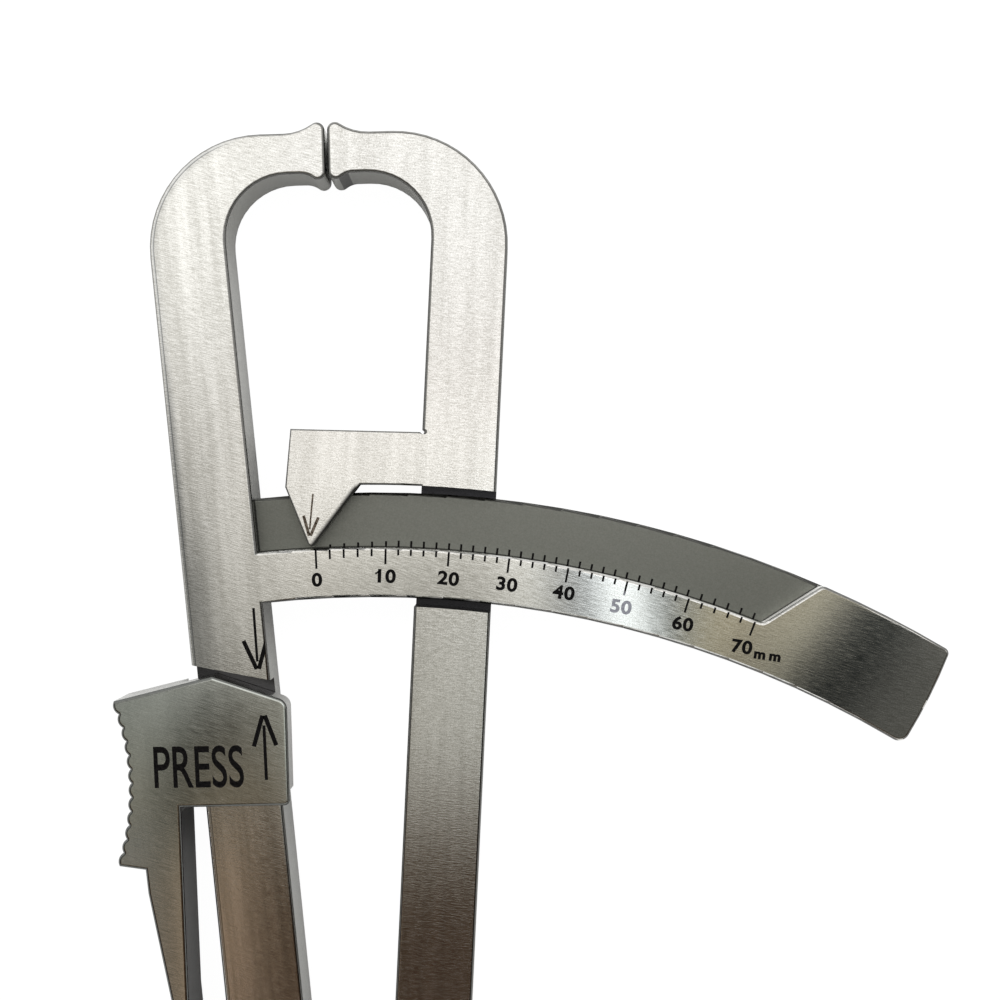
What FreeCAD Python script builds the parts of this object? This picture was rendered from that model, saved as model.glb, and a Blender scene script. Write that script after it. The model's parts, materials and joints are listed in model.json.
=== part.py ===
import FreeCAD, Part
import math
import os

# Skinfold caliper: two steel arms on one friction hinge, with hooked jaws that meet at the far end.
# The left arm carries the curved scale, the right arm carries the pointer, and a thumb lever on a
# flat spring lies along the left arm and shows when the jaws press with their set force.
#
# Frame: millimetres. The tool lies on its back. The origin is on the pivot axis at the back face,
# +Y runs up the closed tool to the jaws, +X to the side of the scale, +Z out of the front face.

Vector = FreeCAD.Vector

# --- driving dimensions ---------------------------------------------------------------------------
ARM_THICKNESS = 9.0
ARM_WIDTH = 8.85
ARM_LEAN_DEG = 4.26            # each arm's inner edge against the centre line, when closed
EDGE_ROUND = 0.4               # broken edges of both arms
JAW_REACH = 169.0              # pivot axis to the middle of the jaw faces
JAW_GAP = 0.3                  # left between the closed faces
JAW_FACE_HALF = 3.3
JAW_CORNER_RADIUS = 0.9        # corners of the jaw face
JAW_CROWN_HOLLOW = 6.0         # hollows between the neck and the swollen jaw, outside
JAW_HEEL_HOLLOW = 2.5          # and inside
NECK_ABOVE = 2.1               # neck edges against the middle of the jaw faces
NECK_BELOW = 2.6
SHOULDER_RADIUS = 13.0         # outside of the arch
ARCH_RADIUS = 7.3              # inside of the arch

BAND_RADIUS = 123.3            # edge of the raised band with the figures, about the pivot
SCALE_CENTRE_X = 0.9           # the scale's long edges are struck about a centre this far to the right
SCALE_INNER_RADIUS = 117.52
SCALE_OUTER_RADIUS = 129.6
RECESS_DEPTH = 2.1             # milled band that the pointer runs in
RECESS_FOOT_RADIUS = 1.0       # corners of the wall that ends the recess: at the band
RECESS_CREST_RADIUS = 1.0      # and at the outer rim
RECESS_END_SLANT_DEG = 1.75
BAND_ROUND = 0.35              # broken edges of band and tab
SCALE_THICKNESS = 5.9
TAB_SPAN_DEG = 9.43            # solid end of the scale past the recess
TAB_END_SLANT_DEG = 0.4
TAB_END_BULGE = 0.3
TAB_INNER_CORNER_RADIUS = 1.3
TAB_OUTER_CORNER_RADIUS = 0.7

ZERO_DEG = -1.38               # pointer tip and zero mark, clockwise from the centre line
OPENING_DEG = 24.0             # just past the 70 mm mark
STOP_MARGIN_DEG = 0.68         # pointer to the end of the recess, fully open

POINTER_TIP_GAP = 0.3          # tip to the raised band
POINTER_TIP_RADIUS = 0.45
POINTER_LEFT_REACH = 2.62      # shoulders of the pointer to each side of its tip
POINTER_RIGHT_REACH = 6.03
FOOT_LEFT_REACH = 1.68         # upper left corner of the foot
FOOT_HEIGHT = 6.65             # foot over the slot, at that corner
FOOT_ROOT_HEIGHT = 6.15        # and where it meets the arm
FOOT_RELIEF_RADIUS = 0.25
FOOT_ROUND = 0.2

SLIDE_CLEARANCE = 0.3          # depth left between parts that pass over each other
SCALE_SIDE_CLEARANCE = 0.95    # scale to the upper edge of its slot in the right arm
SCALE_UNDER_CLEARANCE = 0.92   # scale to the lower edge of that slot

LEVER_PROUD = 1.0              # lever front over the arm front
LEVER_NOTCH_DEPTH = 3.8
LEVER_NOTCH_CLEARANCE = 0.5
LEVER_LIP = 1.2                # foot of the lever's front plate that lies over the arm's front face
LEVER_ROUND = 0.4
LEVER_CORNER_RADIUS = 1.3
LEVER_FOOT_RADIUS = 0.6
LEVER_LIP_END = 2.3            # the lip's outer end, past the arm's outer edge
THUMB_RADIUS = 27.6            # hollow of the thumb face
RIB_COUNT = 12
RIB_HEIGHT = 0.35
# Places on the lever: along the left arm from the pivot, and out from that arm's outer edge.
LEVER_TOP_OUTER = (108.06, 9.15)
LEVER_PEAK = (109.74, -2.35)
LEVER_TOP_INNER = (106.07, -10.6)
LEVER_FOOT_INNER = (94.14, -9.75)
LEVER_FOOT_OUTER = (95.2, 2.94)
WALL_TOP_OUT = 1.88            # where the thumb block's inner wall starts, on the upper edge
THUMB_FOOT = (89.17, 10.38)
THUMB_HEEL = (88.46, 7.47)
STEM_TOP = (85.75, 7.43)
STEM_WAIST = 73.16
STEM_END = 56.0
STEM_GAP = 4.05                # arm edge to the stem's inner wall, from the waist down
STEM_WIDTH = 2.0
NOTCH_TOP_INNER = 108.58       # upper edge of the arm's notch, at the inner and outer arm edges
NOTCH_TOP_OUTER = 111.2

LEAF_THICKNESS = 1.4
LEAF_WIDTH = 8.0
LEAF_LAP = 12.0                # overlap of leaf and stem, for the two rivets
CLAMP_TOP = 34.0
CLAMP_FOOT = 18.0
BOSS_SLOPE = 1.5               # run-out of the boss at each end
RIVET_RADIUS = 1.0
RIVET_HEAD_RADIUS = 1.7
RIVET_HEAD_HEIGHT = 0.6
RIVET_INSET = 3.0              # rivet centres from the ends of the lap
SCREW_RADIUS = 1.5
SCREW_HEAD_RADIUS = 2.75
SCREW_HEAD_HEIGHT = 1.65
SCREW_INSET = 4.0              # screw centres from the ends of the clamp plate
SCREW_DEPTH = 8.0              # thread into boss and arm
SCREW_KEY = 2.0                # hexagon key, across flats
SCREW_KEY_DEPTH = 1.1
HOLE_CLEARANCE = 0.1           # radial, for screws, rivets and washers

LUG_GAP = 0.5                  # washer between the two lugs
LUG_CLEARANCE = 0.4            # lug rim to the other arm
LUG_FILLET = 0.8               # between lug and inner edge
SHOULDER_PIN_RADIUS = 3.0
RUNNING_CLEARANCE = 0.03
BUSH_WALL = 1.0
LUG_WASHER_RADIUS = 8.0
HEAD_WASHER_RADIUS = 6.0
HEAD_WASHER_THICKNESS = 0.5
DISC_SPRING_RADIUS = 5.5
DISC_SPRING_SHEET = 0.35
DISC_SPRING_HEIGHT = 0.6
BOLT_HEAD_RADIUS = 5.75
BOLT_HEAD_HEIGHT = 1.8
BOLT_HEAD_ROUND = 0.5
BOLT_KEY = 3.0
BOLT_KEY_DEPTH = 1.2
THREAD_RADIUS = 2.0
NUT_RADIUS = 5.0
NUT_THICKNESS = 2.6
NUT_CAP = 0.7                  # closed end of the nut over the thread
SPANNER_HOLE_RADIUS = 0.7
SPANNER_HOLE_DEPTH = 1.2
SPANNER_HOLE_PITCH_RADIUS = 3.5

# --- worked out from the driving dimensions ---------------------------------------------------------
LEAN = math.radians(ARM_LEAN_DEG)
SCALE_BACK = ARM_THICKNESS - SCALE_THICKNESS
RECESS_FLOOR = ARM_THICKNESS - RECESS_DEPTH
RECESS_END_DEG = ZERO_DEG + OPENING_DEG + STOP_MARGIN_DEG
CREST_DEG = RECESS_END_DEG + RECESS_END_SLANT_DEG
TAB_END_DEG = RECESS_END_DEG + TAB_SPAN_DEG
SCALE_MIDDLE_DEG = TAB_END_DEG / 2
SCALE_ROOT_DEG = -ARM_LEAN_DEG - math.degrees(ARM_WIDTH / 2 / SCALE_OUTER_RADIUS)
SLOT_TOP_RADIUS = SCALE_OUTER_RADIUS + SCALE_SIDE_CLEARANCE
SLOT_FOOT_RADIUS = SCALE_INNER_RADIUS - SCALE_UNDER_CLEARANCE
FOOT_RADIUS = SLOT_TOP_RADIUS + FOOT_HEIGHT
FOOT_ROOT_RADIUS = SLOT_TOP_RADIUS + FOOT_ROOT_HEIGHT
LEVER_FRONT = ARM_THICKNESS + LEVER_PROUD
LEVER_NOTCH_FLOOR = ARM_THICKNESS - LEVER_NOTCH_DEPTH
LEVER_TOP_SLOPE = (LEVER_PEAK[0] - LEVER_TOP_OUTER[0]) / (LEVER_TOP_OUTER[1] - LEVER_PEAK[1])
WALL_TOP = (LEVER_TOP_OUTER[0] + (LEVER_TOP_OUTER[1] - WALL_TOP_OUT) * LEVER_TOP_SLOPE, WALL_TOP_OUT)
LEVER_FOOT_SLOPE = (LEVER_FOOT_OUTER[0] - LEVER_FOOT_INNER[0]) / (LEVER_FOOT_OUTER[1] - LEVER_FOOT_INNER[1])
LUG_SPLIT_LOW = (ARM_THICKNESS - LUG_GAP) / 2
LUG_SPLIT_HIGH = LUG_SPLIT_LOW + LUG_GAP
BUSH_BORE_RADIUS = SHOULDER_PIN_RADIUS + RUNNING_CLEARANCE
BUSH_RADIUS = SHOULDER_PIN_RADIUS + BUSH_WALL
WASHER_BORE_RADIUS = SHOULDER_PIN_RADIUS + HOLE_CLEARANCE
BOLT_SEAT = ARM_THICKNESS + HEAD_WASHER_THICKNESS + DISC_SPRING_HEIGHT
LEAF_MIDDLE = ARM_THICKNESS / 2
LUG_MIDDLE_DEG = ARM_LEAN_DEG - 135
PAST = 3.0                     # how far cutting blocks reach past what they cut


# --- helpers --------------------------------------------------------------------------------------
def polar(radius, angle_deg):
    """A point at this distance from the pivot, clockwise from +Y as seen from the front."""
    angle = math.radians(angle_deg)
    return Vector(radius * math.sin(angle), radius * math.cos(angle), 0)


def scale_place(radius, angle_deg):
    """A point of the scale's long edges, about their own centre."""
    return polar(radius, angle_deg) + Vector(SCALE_CENTRE_X, 0, 0)


def along_left(up, out):
    """A point beside the left arm: up the arm from the pivot, and out from its outer edge."""
    across = ARM_WIDTH + out
    return Vector(-up * math.sin(LEAN) - across * math.cos(LEAN),
                  up * math.cos(LEAN) - across * math.sin(LEAN), 0)


def outline(start, *steps):
    """A flat face bounded by straight steps (a point) and arcs (a pair: through, end)."""
    edges = []
    here = start
    for step in steps + (start,):
        if isinstance(step, tuple):
            through, end = step
            edges.append(Part.Arc(here, through, end).toShape())
            here = end
        elif here.distanceToPoint(step) > 1e-7:
            edges.append(Part.makeLine(here, step))
            here = step
    return Part.Face(Part.Wire(edges))


def block(face, low, high):
    """The face drawn out in depth from low to high."""
    face.translate(Vector(0, 0, low))
    return face.extrude(Vector(0, 0, high - low))


def disc(radius, low, high, centre=Vector(0, 0, 0)):
    return Part.makeCylinder(radius, high - low, Vector(centre.x, centre.y, low))


def ring(outer, bore, low, high):
    return disc(outer, low, high).cut(disc(bore, low, high))


def ring_sector(inner, outer, start_deg, end_deg, low, high):
    middle = (start_deg + end_deg) / 2
    face = outline(polar(inner, start_deg),
                   polar(outer, start_deg),
                   (polar(outer, middle), polar(outer, end_deg)),
                   polar(inner, end_deg),
                   (polar(inner, middle), polar(inner, start_deg)))
    return block(face, low, high)


def mirrored(shape):
    """The same solid on the other side of the centre line."""
    return shape.mirror(Vector(0, 0, 0), Vector(1, 0, 0))


def round_rims(solid, radius, *levels):
    """Round the edges that lie flat at the given heights."""
    rims = []
    for edge in solid.Edges:
        box = edge.BoundBox
        for level in levels:
            if abs(box.ZMin - level) < 1e-4 and abs(box.ZMax - level) < 1e-4:
                rims.append(edge)
    return solid.makeFillet(radius, rims)


def round_uprights(solid, radius, *places):
    """Round the upright corners that stand at the given places."""
    corners = []
    for edge in solid.Edges:
        box = edge.BoundBox
        for place in places:
            upright = box.XLength < 1e-4 and box.YLength < 1e-4
            if upright and math.hypot(box.XMin - place.x, box.YMin - place.y) < 1e-3:
                corners.append(edge)
    return solid.makeFillet(radius, corners)


def hexagon(across_flats, low, high, centre=Vector(0, 0, 0)):
    corner = across_flats / math.sqrt(3)
    points = []
    for side in range(6):
        turn = math.radians(60 * side)
        points.append(centre + Vector(corner * math.cos(turn), corner * math.sin(turn), 0))
    return block(outline(*points), low, high)


def beside_arm(solid, up):
    """Lay a solid made about +Z so that +Z points out of the left arm, on the leaf's middle line."""
    solid = solid.copy()
    solid.rotate(Vector(0, 0, 0), Vector(0, 1, 0), -90)
    solid.rotate(Vector(0, 0, 0), Vector(0, 0, 1), ARM_LEAN_DEG)
    solid.translate(along_left(up, 0) + Vector(0, 0, LEAF_MIDDLE))
    return solid


# --- arms -----------------------------------------------------------------------------------------
def arm_outline():
    """The right arm from its lug over the arch to the jaw: straight bar, round arch, flared jaw."""
    sin, cos = math.sin(LEAN), math.cos(LEAN)
    face_x = JAW_GAP / 2
    neck_top = JAW_REACH + NECK_ABOVE
    neck_foot = JAW_REACH - NECK_BELOW
    tip_top = JAW_REACH + JAW_FACE_HALF
    tip_foot = JAW_REACH - JAW_FACE_HALF

    def centre_of(radius, height, from_inner_edge):
        """Centre of a circle that touches one edge of the bar and the neck line at this height."""
        y = height - radius
        x = y * math.tan(LEAN) + (from_inner_edge - radius) / cos
        return Vector(x, y, 0)

    shoulder = centre_of(SHOULDER_RADIUS, neck_top, ARM_WIDTH)
    arch = centre_of(ARCH_RADIUS, neck_foot, 0)
    diagonal = (math.pi / 2 - LEAN) / 2

    def on(centre, radius, angle):
        return centre + Vector(radius * math.cos(angle), radius * math.sin(angle), 0)

    def flare(neck, tip, inward, hollow_radius):
        """Corner and swell of the jaw at one end of its face; inward points to the neck."""
        crown = Vector(face_x + JAW_CORNER_RADIUS, tip + inward * JAW_CORNER_RADIUS, 0)
        rise = inward * (crown.y - neck) + hollow_radius
        reach = hollow_radius + JAW_CORNER_RADIUS
        hollow = Vector(crown.x + math.sqrt(reach ** 2 - rise ** 2), neck - inward * hollow_radius, 0)
        touch = crown + (hollow - crown) * (JAW_CORNER_RADIUS / reach)
        start = Vector(hollow.x, neck, 0)
        on_face = Vector(face_x, crown.y, 0)
        swell = ((start + touch) * 0.5 - hollow).normalize() * hollow_radius + hollow
        corner = ((on_face + touch) * 0.5 - crown).normalize() * JAW_CORNER_RADIUS + crown
        return start, swell, touch, corner, on_face

    top_start, top_swell, top_touch, top_corner, face_top = flare(neck_top, tip_top, -1, JAW_CROWN_HOLLOW)
    foot_start, foot_swell, foot_touch, foot_corner, face_foot = flare(neck_foot, tip_foot, 1, JAW_HEEL_HOLLOW)
    return outline(
        Vector(ARM_WIDTH * cos, -ARM_WIDTH * sin, 0),
        on(shoulder, SHOULDER_RADIUS, -LEAN),
        (on(shoulder, SHOULDER_RADIUS, diagonal), on(shoulder, SHOULDER_RADIUS, math.pi / 2)),
        top_start,
        (top_swell, top_touch),
        (top_corner, face_top),
        face_foot,
        (foot_corner, foot_touch),
        (foot_swell, foot_start),
        on(arch, ARCH_RADIUS, math.pi / 2),
        (on(arch, ARCH_RADIUS, diagonal), on(arch, ARCH_RADIUS, -LEAN)),
        polar(ARM_WIDTH, ARM_LEAN_DEG),
        (polar(ARM_WIDTH, LUG_MIDDLE_DEG), Vector(ARM_WIDTH * cos, -ARM_WIDTH * sin, 0)))


def arm_blank():
    """An arm before milling, with its round lug still as deep as the bar."""
    blank = block(arm_outline(), 0, ARM_THICKNESS)
    blank = round_uprights(blank, LUG_FILLET, polar(ARM_WIDTH, ARM_LEAN_DEG))
    return round_rims(blank, EDGE_ROUND, 0, ARM_THICKNESS)


def lug_room(low, high):
    """Depth milled away at one lug to make room for the other."""
    return disc(ARM_WIDTH + LUG_CLEARANCE, low, high)


def tab_end():
    """The free end of the scale: outer corner, middle of the slightly round end, inner corner."""
    outer = scale_place(SCALE_OUTER_RADIUS, TAB_END_DEG - TAB_END_SLANT_DEG)
    inner = scale_place(SCALE_INNER_RADIUS, TAB_END_DEG)
    chord = outer - inner
    bulge = (outer + inner) * 0.5 + Vector(chord.y, -chord.x, 0).normalize() * TAB_END_BULGE
    return outer, bulge, inner


def round_tab(layer):
    outer, _, inner = tab_end()
    return round_uprights(round_uprights(layer, TAB_OUTER_CORNER_RADIUS, outer), TAB_INNER_CORNER_RADIUS, inner)


def scale_floor():
    """The lower layer of the scale, as wide as band and recess together, from the arm to the tab."""
    outer, bulge, inner = tab_end()
    root = scale_place(SCALE_INNER_RADIUS, SCALE_ROOT_DEG)
    face = outline(root,
                   scale_place(SCALE_OUTER_RADIUS, SCALE_ROOT_DEG),
                   (scale_place(SCALE_OUTER_RADIUS, SCALE_MIDDLE_DEG), outer),
                   (bulge, inner),
                   (scale_place(SCALE_INNER_RADIUS, SCALE_MIDDLE_DEG), root))
    return round_rims(round_tab(block(face, SCALE_BACK, RECESS_FLOOR)), EDGE_ROUND, SCALE_BACK, RECESS_FLOOR)


def scale_band():
    """The raised band for the figures and the tab that ends the recess in a slanted wall."""
    outer, bulge, inner = tab_end()
    root = scale_place(SCALE_INNER_RADIUS, SCALE_ROOT_DEG)
    foot = polar(BAND_RADIUS, RECESS_END_DEG)
    crest = scale_place(SCALE_OUTER_RADIUS, CREST_DEG)
    face = outline(root,
                   polar(BAND_RADIUS, SCALE_ROOT_DEG),
                   (polar(BAND_RADIUS, (SCALE_ROOT_DEG + RECESS_END_DEG) / 2), foot),
                   crest,
                   (scale_place(SCALE_OUTER_RADIUS, (CREST_DEG + TAB_END_DEG) / 2), outer),
                   (bulge, inner),
                   (scale_place(SCALE_INNER_RADIUS, SCALE_MIDDLE_DEG), root))
    band = round_tab(block(face, SCALE_BACK + EDGE_ROUND, ARM_THICKNESS))
    band = round_uprights(band, RECESS_FOOT_RADIUS, foot)
    band = round_uprights(band, RECESS_CREST_RADIUS, crest)
    return round_rims(band, BAND_ROUND, ARM_THICKNESS)


def over_lever_foot(height, out):
    """A point this far up the arm from the lower edge of the lever's front plate."""
    return along_left(LEVER_FOOT_INNER[0] + (out - LEVER_FOOT_INNER[1]) * LEVER_FOOT_SLOPE + height, out)


def lever_notch():
    """Room for the lever's front plate, milled across the left arm."""
    rise = (NOTCH_TOP_OUTER - NOTCH_TOP_INNER) / ARM_WIDTH * PAST
    face = outline(over_lever_foot(LEVER_LIP, -ARM_WIDTH - PAST),
                   over_lever_foot(LEVER_LIP, PAST),
                   along_left(NOTCH_TOP_OUTER + rise, PAST),
                   along_left(NOTCH_TOP_INNER - rise, -ARM_WIDTH - PAST))
    return block(face, LEVER_NOTCH_FLOOR, ARM_THICKNESS + PAST)


def leaf_boss():
    """The seat on the left arm's outer edge that the leaf is clamped to."""
    top = STEM_GAP - LEAF_THICKNESS
    face = outline(along_left(CLAMP_FOOT - BOSS_SLOPE, -1),
                   along_left(CLAMP_FOOT - BOSS_SLOPE, 0),
                   along_left(CLAMP_FOOT, top),
                   along_left(CLAMP_TOP, top),
                   along_left(CLAMP_TOP + BOSS_SLOPE, 0),
                   along_left(CLAMP_TOP + BOSS_SLOPE, -1))
    return block(face, EDGE_ROUND, ARM_THICKNESS - EDGE_ROUND)


def screw_places():
    return {"upper": CLAMP_TOP - SCREW_INSET, "lower": CLAMP_FOOT + SCREW_INSET}


def left_arm():
    arm = mirrored(arm_blank()).cut(lug_room(LUG_SPLIT_LOW, ARM_THICKNESS + PAST))
    arm = arm.fuse([scale_floor(), scale_band(), leaf_boss()]).removeSplitter()
    arm = arm.cut(lever_notch())
    arm = arm.cut(disc(THREAD_RADIUS + HOLE_CLEARANCE, -PAST, ARM_THICKNESS))
    arm = arm.cut(disc(NUT_RADIUS + HOLE_CLEARANCE, -PAST, NUT_THICKNESS))
    seat = STEM_GAP - LEAF_THICKNESS
    for up in screw_places().values():
        arm = arm.cut(beside_arm(disc(SCREW_RADIUS, seat - SCREW_DEPTH, seat + PAST), up))
    return arm


def foot_outline():
    """The right arm's inward foot with the pointer below it, drawn about the zero line."""
    def place(x, radius):
        turn = ZERO_DEG + math.degrees(math.asin(x / radius))
        return polar(radius, turn)

    tip = polar(BAND_RADIUS + POINTER_TIP_GAP, ZERO_DEG)
    left = place(-POINTER_LEFT_REACH, SLOT_TOP_RADIUS)
    right = place(POINTER_RIGHT_REACH, SLOT_TOP_RADIUS)
    corner = place(-FOOT_LEFT_REACH, FOOT_RADIUS)
    root = polar(FOOT_ROOT_RADIUS, ARM_LEAN_DEG)
    inside = root + (root - corner).normalize() * (ARM_WIDTH / 2)
    root_deg = ARM_LEAN_DEG + math.degrees(ARM_WIDTH / 2 / FOOT_RADIUS)
    slant_left = (left - tip).normalize()
    slant_right = (right - tip).normalize()
    upward = (slant_left + slant_right).normalize()
    half_angle = slant_left.getAngle(slant_right) / 2
    apex = tip - upward * POINTER_TIP_RADIUS * (1 / math.sin(half_angle) - 1)
    flank = POINTER_TIP_RADIUS / math.tan(half_angle)
    return outline(left,
                   corner,
                   inside,
                   polar(SLOT_TOP_RADIUS, root_deg),
                   (polar(SLOT_TOP_RADIUS, (root_deg + ARM_LEAN_DEG) / 2), right),
                   apex + slant_right * flank,
                   (tip, apex + slant_left * flank))


def pointer_foot():
    foot = block(foot_outline(), 0, ARM_THICKNESS)
    foot = round_rims(foot, FOOT_ROUND, ARM_THICKNESS)
    under = ring_sector(SCALE_INNER_RADIUS, SLOT_TOP_RADIUS, ZERO_DEG - 4, ARM_LEAN_DEG - 0.5,
                        -PAST, RECESS_FLOOR + SLIDE_CLEARANCE)
    return round_rims(foot.cut(under), FOOT_ROUND, 0)


def right_arm():
    arm = arm_blank().cut(lug_room(-PAST, LUG_SPLIT_HIGH))
    arm = arm.fuse(pointer_foot()).removeSplitter()
    slot_start = ZERO_DEG + math.degrees(math.asin((POINTER_RIGHT_REACH + 0.3) / SLOT_TOP_RADIUS))
    slot_end = ARM_LEAN_DEG + math.degrees((ARM_WIDTH + PAST) / SLOT_FOOT_RADIUS)
    arm = arm.cut(ring_sector(SLOT_FOOT_RADIUS, SLOT_TOP_RADIUS, slot_start, slot_end,
                              SCALE_BACK - SLIDE_CLEARANCE, ARM_THICKNESS + PAST))
    relief = polar(FOOT_ROOT_RADIUS, ARM_LEAN_DEG)
    arm = arm.cut(disc(FOOT_RELIEF_RADIUS, -PAST, ARM_THICKNESS + PAST, relief))
    return arm.cut(disc(BUSH_RADIUS, -PAST, ARM_THICKNESS + PAST))


# --- press lever ----------------------------------------------------------------------------------
def thumb_ribs():
    """The ribbed hollow of the thumb block, as arcs from its foot up to its outer corner."""
    foot = along_left(*THUMB_FOOT)
    top = along_left(*LEVER_TOP_OUTER)
    chord = top - foot
    across = Vector(-chord.y, chord.x, 0).normalize()      # out of the block, to the left
    depth = math.sqrt(THUMB_RADIUS ** 2 - (chord.Length / 2) ** 2)
    centre = foot + chord * 0.5 + across * depth
    first = math.atan2(foot.y - centre.y, foot.x - centre.x)
    sweep = 2 * math.asin(chord.Length / 2 / THUMB_RADIUS)

    def at(share, out):
        angle = first + sweep * share
        reach = THUMB_RADIUS - out
        return centre + Vector(reach * math.cos(angle), reach * math.sin(angle), 0)

    steps = []
    for rib in range(RIB_COUNT):
        steps.append((at((rib + 0.5) / RIB_COUNT, RIB_HEIGHT), at((rib + 1) / RIB_COUNT, 0)))
    return steps


def lever_block():
    """The full-depth part of the lever: thumb block, tapered stem and the tongue for the leaf."""
    face = outline(along_left(*THUMB_FOOT),
                   *thumb_ribs(),
                   along_left(*WALL_TOP),
                   along_left(STEM_WAIST, STEM_GAP),
                   along_left(STEM_END, STEM_GAP),
                   along_left(STEM_END, STEM_GAP + STEM_WIDTH),
                   along_left(STEM_WAIST, STEM_GAP + STEM_WIDTH),
                   along_left(*STEM_TOP),
                   along_left(*THUMB_HEEL))
    return block(face, 0, LEVER_FRONT)


def lever_plate():
    """The thinner front plate: it lies in the left arm's notch and laps over the notch's lower edge."""
    face = outline(along_left(*LEVER_FOOT_INNER),
                   along_left(*LEVER_TOP_INNER),
                   along_left(*LEVER_PEAK),
                   along_left(*WALL_TOP),
                   along_left(LEVER_FOOT_OUTER[0], LEVER_FOOT_OUTER[1] + 1),
                   along_left(*LEVER_FOOT_OUTER))
    plate = block(face, LEVER_NOTCH_FLOOR + SLIDE_CLEARANCE, LEVER_FRONT)
    plate = round_uprights(plate, LEVER_CORNER_RADIUS, along_left(*LEVER_TOP_INNER))
    plate = round_uprights(plate, LEVER_FOOT_RADIUS, along_left(*LEVER_FOOT_INNER))
    lip_top = LEVER_LIP + LEVER_NOTCH_CLEARANCE
    under = outline(over_lever_foot(lip_top, LEVER_FOOT_INNER[1] - PAST),
                    over_lever_foot(lip_top, LEVER_LIP_END),
                    over_lever_foot(-PAST, LEVER_LIP_END),
                    over_lever_foot(-PAST, LEVER_FOOT_INNER[1] - PAST))
    return plate.cut(block(under, 0, ARM_THICKNESS + SLIDE_CLEARANCE))


def rivet_places():
    return {"upper": STEM_END + LEAF_LAP - RIVET_INSET, "lower": STEM_END + RIVET_INSET}


def press_lever():
    lever = lever_block().fuse(lever_plate()).removeSplitter()
    lever = round_rims(lever, LEVER_ROUND, 0, LEVER_FRONT)
    for up in rivet_places().values():
        lever = lever.cut(beside_arm(disc(RIVET_RADIUS, STEM_GAP - PAST, STEM_GAP + STEM_WIDTH + PAST), up))
    return lever


# --- leaf spring and its fasteners ----------------------------------------------------------------
def strip(foot, top, inner, outer):
    """A straight strip beside the left arm, as wide as the leaf."""
    face = outline(along_left(foot, inner), along_left(top, inner),
                   along_left(top, outer), along_left(foot, outer))
    return block(face, LEAF_MIDDLE - LEAF_WIDTH / 2, LEAF_MIDDLE + LEAF_WIDTH / 2)


def lever_leaf():
    leaf = strip(CLAMP_FOOT, STEM_END + LEAF_LAP, STEM_GAP - LEAF_THICKNESS, STEM_GAP)
    for up in screw_places().values():
        leaf = leaf.cut(beside_arm(disc(SCREW_RADIUS + HOLE_CLEARANCE, 0, STEM_GAP + PAST), up))
    for up in rivet_places().values():
        leaf = leaf.cut(beside_arm(disc(RIVET_RADIUS, 0, STEM_GAP + PAST), up))
    return leaf


def countersink(radius, depth, top):
    return Part.makeCone(radius - depth, radius, depth, Vector(0, 0, top - depth))


def leaf_clamp_plate():
    top = STEM_GAP + STEM_WIDTH
    plate = strip(CLAMP_FOOT, CLAMP_TOP, STEM_GAP, top)
    for up in screw_places().values():
        hole = disc(SCREW_RADIUS + HOLE_CLEARANCE, STEM_GAP - PAST, top + PAST)
        sink = countersink(SCREW_HEAD_RADIUS, SCREW_HEAD_HEIGHT, top)
        plate = plate.cut(beside_arm(hole.fuse(sink), up))
    return plate


def leaf_screw(up):
    """Countersunk screw through clamp plate and leaf into the left arm."""
    top = STEM_GAP + STEM_WIDTH
    seat = STEM_GAP - LEAF_THICKNESS
    shank = disc(SCREW_RADIUS, seat - SCREW_DEPTH, top)
    head = countersink(SCREW_HEAD_RADIUS, SCREW_HEAD_HEIGHT, top)
    key = hexagon(SCREW_KEY, top - SCREW_KEY_DEPTH, top + PAST)
    return beside_arm(shank.fuse(head).removeSplitter().cut(key), up)


def lever_rivet(up):
    """Rivet through leaf and stem, with a low head on the side of the arm."""
    seat = STEM_GAP - LEAF_THICKNESS
    shank = disc(RIVET_RADIUS, seat, STEM_GAP + STEM_WIDTH)
    head = disc(RIVET_HEAD_RADIUS, seat - RIVET_HEAD_HEIGHT, seat)
    head = round_rims(head, RIVET_HEAD_HEIGHT / 2, seat - RIVET_HEAD_HEIGHT)
    return beside_arm(shank.fuse(head).removeSplitter(), up)


# --- pivot ----------------------------------------------------------------------------------------
def pivot_bolt():
    """Shoulder bolt: low round head, running shoulder through the right lug, threaded end."""
    head = disc(BOLT_HEAD_RADIUS, BOLT_SEAT, BOLT_SEAT + BOLT_HEAD_HEIGHT)
    head = round_rims(head, BOLT_HEAD_ROUND, BOLT_SEAT + BOLT_HEAD_HEIGHT)
    head = head.cut(hexagon(BOLT_KEY, BOLT_SEAT + BOLT_HEAD_HEIGHT - BOLT_KEY_DEPTH,
                            BOLT_SEAT + BOLT_HEAD_HEIGHT + PAST))
    shoulder = disc(SHOULDER_PIN_RADIUS, LUG_SPLIT_LOW, BOLT_SEAT)
    thread = disc(THREAD_RADIUS, NUT_CAP, LUG_SPLIT_LOW)
    return head.fuse([shoulder, thread]).removeSplitter()


def pivot_nut():
    """Round nut, closed at the back and flush with it, turned by two spanner holes."""
    nut = disc(NUT_RADIUS, 0, NUT_THICKNESS).cut(disc(THREAD_RADIUS, NUT_CAP, NUT_THICKNESS))
    for side in (-1, 1):
        place = Vector(0, side * SPANNER_HOLE_PITCH_RADIUS, 0)
        nut = nut.cut(disc(SPANNER_HOLE_RADIUS, -PAST, SPANNER_HOLE_DEPTH, place))
    return nut


def pivot_bush():
    return ring(BUSH_RADIUS, BUSH_BORE_RADIUS, LUG_SPLIT_HIGH, ARM_THICKNESS)


def lug_washer():
    return ring(LUG_WASHER_RADIUS, WASHER_BORE_RADIUS, LUG_SPLIT_LOW, LUG_SPLIT_HIGH)


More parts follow.
